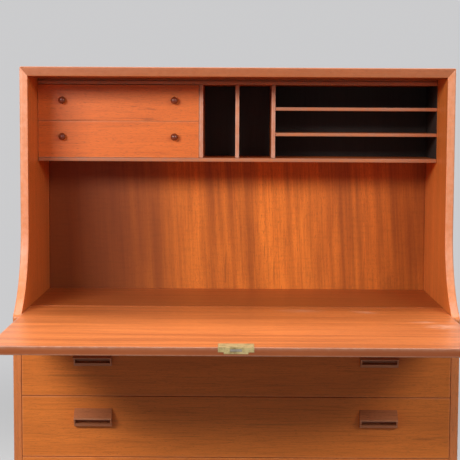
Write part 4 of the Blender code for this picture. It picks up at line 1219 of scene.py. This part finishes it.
# %% [markdown]
# ## Floor, lamps and camera
# The desk stands on a pale floor that fades into a plain pale distance, so nothing but the desk
# asks to be looked at. The fade is only for the eye: a ray that the camera, a gloss or a glass
# sends out sees pale paper, and light that bounces sees a darker floor, which keeps the shade
# under the flap. A broad lamp overhead lights the open flap and leaves the recess in shade; two
# lamps in front, the left one stronger, reach in under the top and along the drawers, and two
# weak ones behind show the back.
# %% Studio
FLOOR_HALF = 14.0
DISTANCE_GREY = (0.60, 0.60, 0.61)
FLOOR_SEEN = (0.66, 0.66, 0.66)
FLOOR_FELT = (0.18, 0.18, 0.18)
FADE_START = 0.9
FADE_END = 3.6


def eye_rays(tree, place):
    """One for rays that should see the plain background: camera, glossy and transmission rays."""
    rays = add_node(tree, "ShaderNodeLightPath", place)
    rays = rays.outputs
    seen = maths(tree, "MAXIMUM", (place[0] + 200, place[1]), rays["Is Camera Ray"], rays["Is Glossy Ray"])
    return maths(tree, "MAXIMUM", (place[0] + 350, place[1]), seen, rays["Is Transmission Ray"])


def floor_shape(rings=24, around=96):
    """Rings whose radius grows as the square of their number: fine near the desk, wide far off."""
    radius = FLOOR_HALF * np.linspace(0.04, 1, rings) ** 2
    angle = np.linspace(0, 2 * np.pi, around, endpoint=False)
    rows = np.stack([radius[:, None] * np.cos(angle), radius[:, None] * np.sin(angle),
                     np.zeros((rings, around))], -1)
    quads, caps = joined_rows(rows)
    return rows.reshape(-1, 3), quads[:, ::-1].tolist() + [caps[0][::-1].tolist()]


def make_floor():
    """The pale floor, whose seen colour fades into the distance."""
    points, faces = floor_shape()
    mesh = bpy.data.meshes.new("studio_floor")
    mesh.from_pydata(points.tolist(), [], faces)
    floor = bpy.data.objects.new("studio_floor", mesh)
    bpy.context.scene.collection.objects.link(floor)
    material, tree, shader = new_material("studio_paper")
    seen = eye_rays(tree, (-1200, 0))
    tree.links.new(blend_colours(tree, (-250, 0), seen, FLOOR_FELT, FLOOR_SEEN), shader.inputs["Base Color"])
    shader.inputs["Roughness"].default_value = 0.9
    place = add_node(tree, "ShaderNodeTexCoord", (-1100, -300)).outputs["Object"]
    reach = vector_maths(tree, "LENGTH", (-900, -300), place)
    far = remap(tree, (-700, -300), reach, FADE_START, FADE_END)
    far = maths(tree, "MULTIPLY", (-500, -300), far, seen)
    glow = add_node(tree, "ShaderNodeEmission", (-250, -300))
    glow.inputs["Color"].default_value = (*DISTANCE_GREY, 1)
    fade = add_node(tree, "ShaderNodeMixShader", (300, 0))
    tree.links.new(far, fade.inputs["Fac"])
    tree.links.new(shader.outputs[0], fade.inputs[1])
    tree.links.new(glow.outputs[0], fade.inputs[2])
    tree.links.new(fade.outputs[0], tree.nodes["Material Output"].inputs["Surface"])
    mesh.materials.append(material)


def make_air(strength):
    """The plain distance, and a weak light from all round."""
    world = bpy.data.worlds.new("studio_air")
    world.use_nodes = True
    tree = world.node_tree
    seen = eye_rays(tree, (-900, 0))
    colour = blend_colours(tree, (-250, 0), seen, (strength, strength, strength), DISTANCE_GREY)
    tree.links.new(colour, tree.nodes["Background"].inputs["Color"])
    bpy.context.scene.world = world


def lamp(name, place, target, size, power):
    """A rectangular soft lamp aimed at a point."""
    light = bpy.data.lights.new(name, "AREA")
    light.shape = "RECTANGLE"
    light.size, light.size_y = size
    light.energy = power
    made = bpy.data.objects.new(name, light)
    made.location = place
    made.rotation_euler = (Vector(target) - Vector(place)).to_track_quat("-Z", "Y").to_euler()
    made.visible_camera = False
    bpy.context.scene.collection.objects.link(made)


LAMPS = (
    ("overhead", (0.0, 0.45, 2.6), (0.0, 0.45, 0.0), (2.4, 0.9), 60.0),
    ("left", (-1.40, -1.9, 1.84), (0.0, 0.0, 0.85), (1.2, 0.5), 53.0),
    ("right", (1.40, -1.9, 1.84), (0.0, 0.0, 0.85), (1.2, 0.5), 22.0),
    ("left_rear", (-2.6, 2.0, 1.8), (0.0, 0.3, 0.8), (0.8, 1.0), 16.0),
    ("right_rear", (2.6, 2.0, 1.8), (0.0, 0.3, 0.8), (0.8, 1.0), 16.0),
)
make_floor()
for setting in LAMPS:
    lamp(*setting)
make_air(0.06)
print(len(LAMPS), "lamps")

# %% [markdown]
# ## The camera
# A long lens from about three metres keeps the desk's uprights nearly upright. The camera stands
# a little below the top and looks slightly down, so that the writing surface shows.
# %% Camera
LENS = 103.6
PITCH = np.radians(4.96)
YAW = np.radians(0.293)
ROLL = np.radians(0.282)
CAMERA_AWAY = 2.956
CAMERA_DROP = 0.1055
camera_data = bpy.data.cameras.new("camera")
camera_data.lens = LENS
camera_data.sensor_width = 36.0
camera = bpy.data.objects.new("camera", camera_data)
bpy.context.scene.collection.objects.link(camera)
aim = (Matrix.Rotation(YAW, 4, "Z") @ Matrix.Rotation(np.pi / 2 - PITCH, 4, "X")
       @ Matrix.Rotation(ROLL, 4, "Z"))
place = (0.0, UPPER_FRONT - CAMERA_AWAY, TOP - CAMERA_DROP)
camera.matrix_world = Matrix.Translation(place) @ aim
bpy.context.scene.camera = camera
bpy.context.scene.view_settings.view_transform = "Standard"
print("camera at", [round(step, 2) for step in place], "m")

# %% [markdown]
# ## Finish
# The finished desk has to fill the frame it was built round; here the view layer is brought up to date.
# %% Finish
bpy.context.view_layer.update()
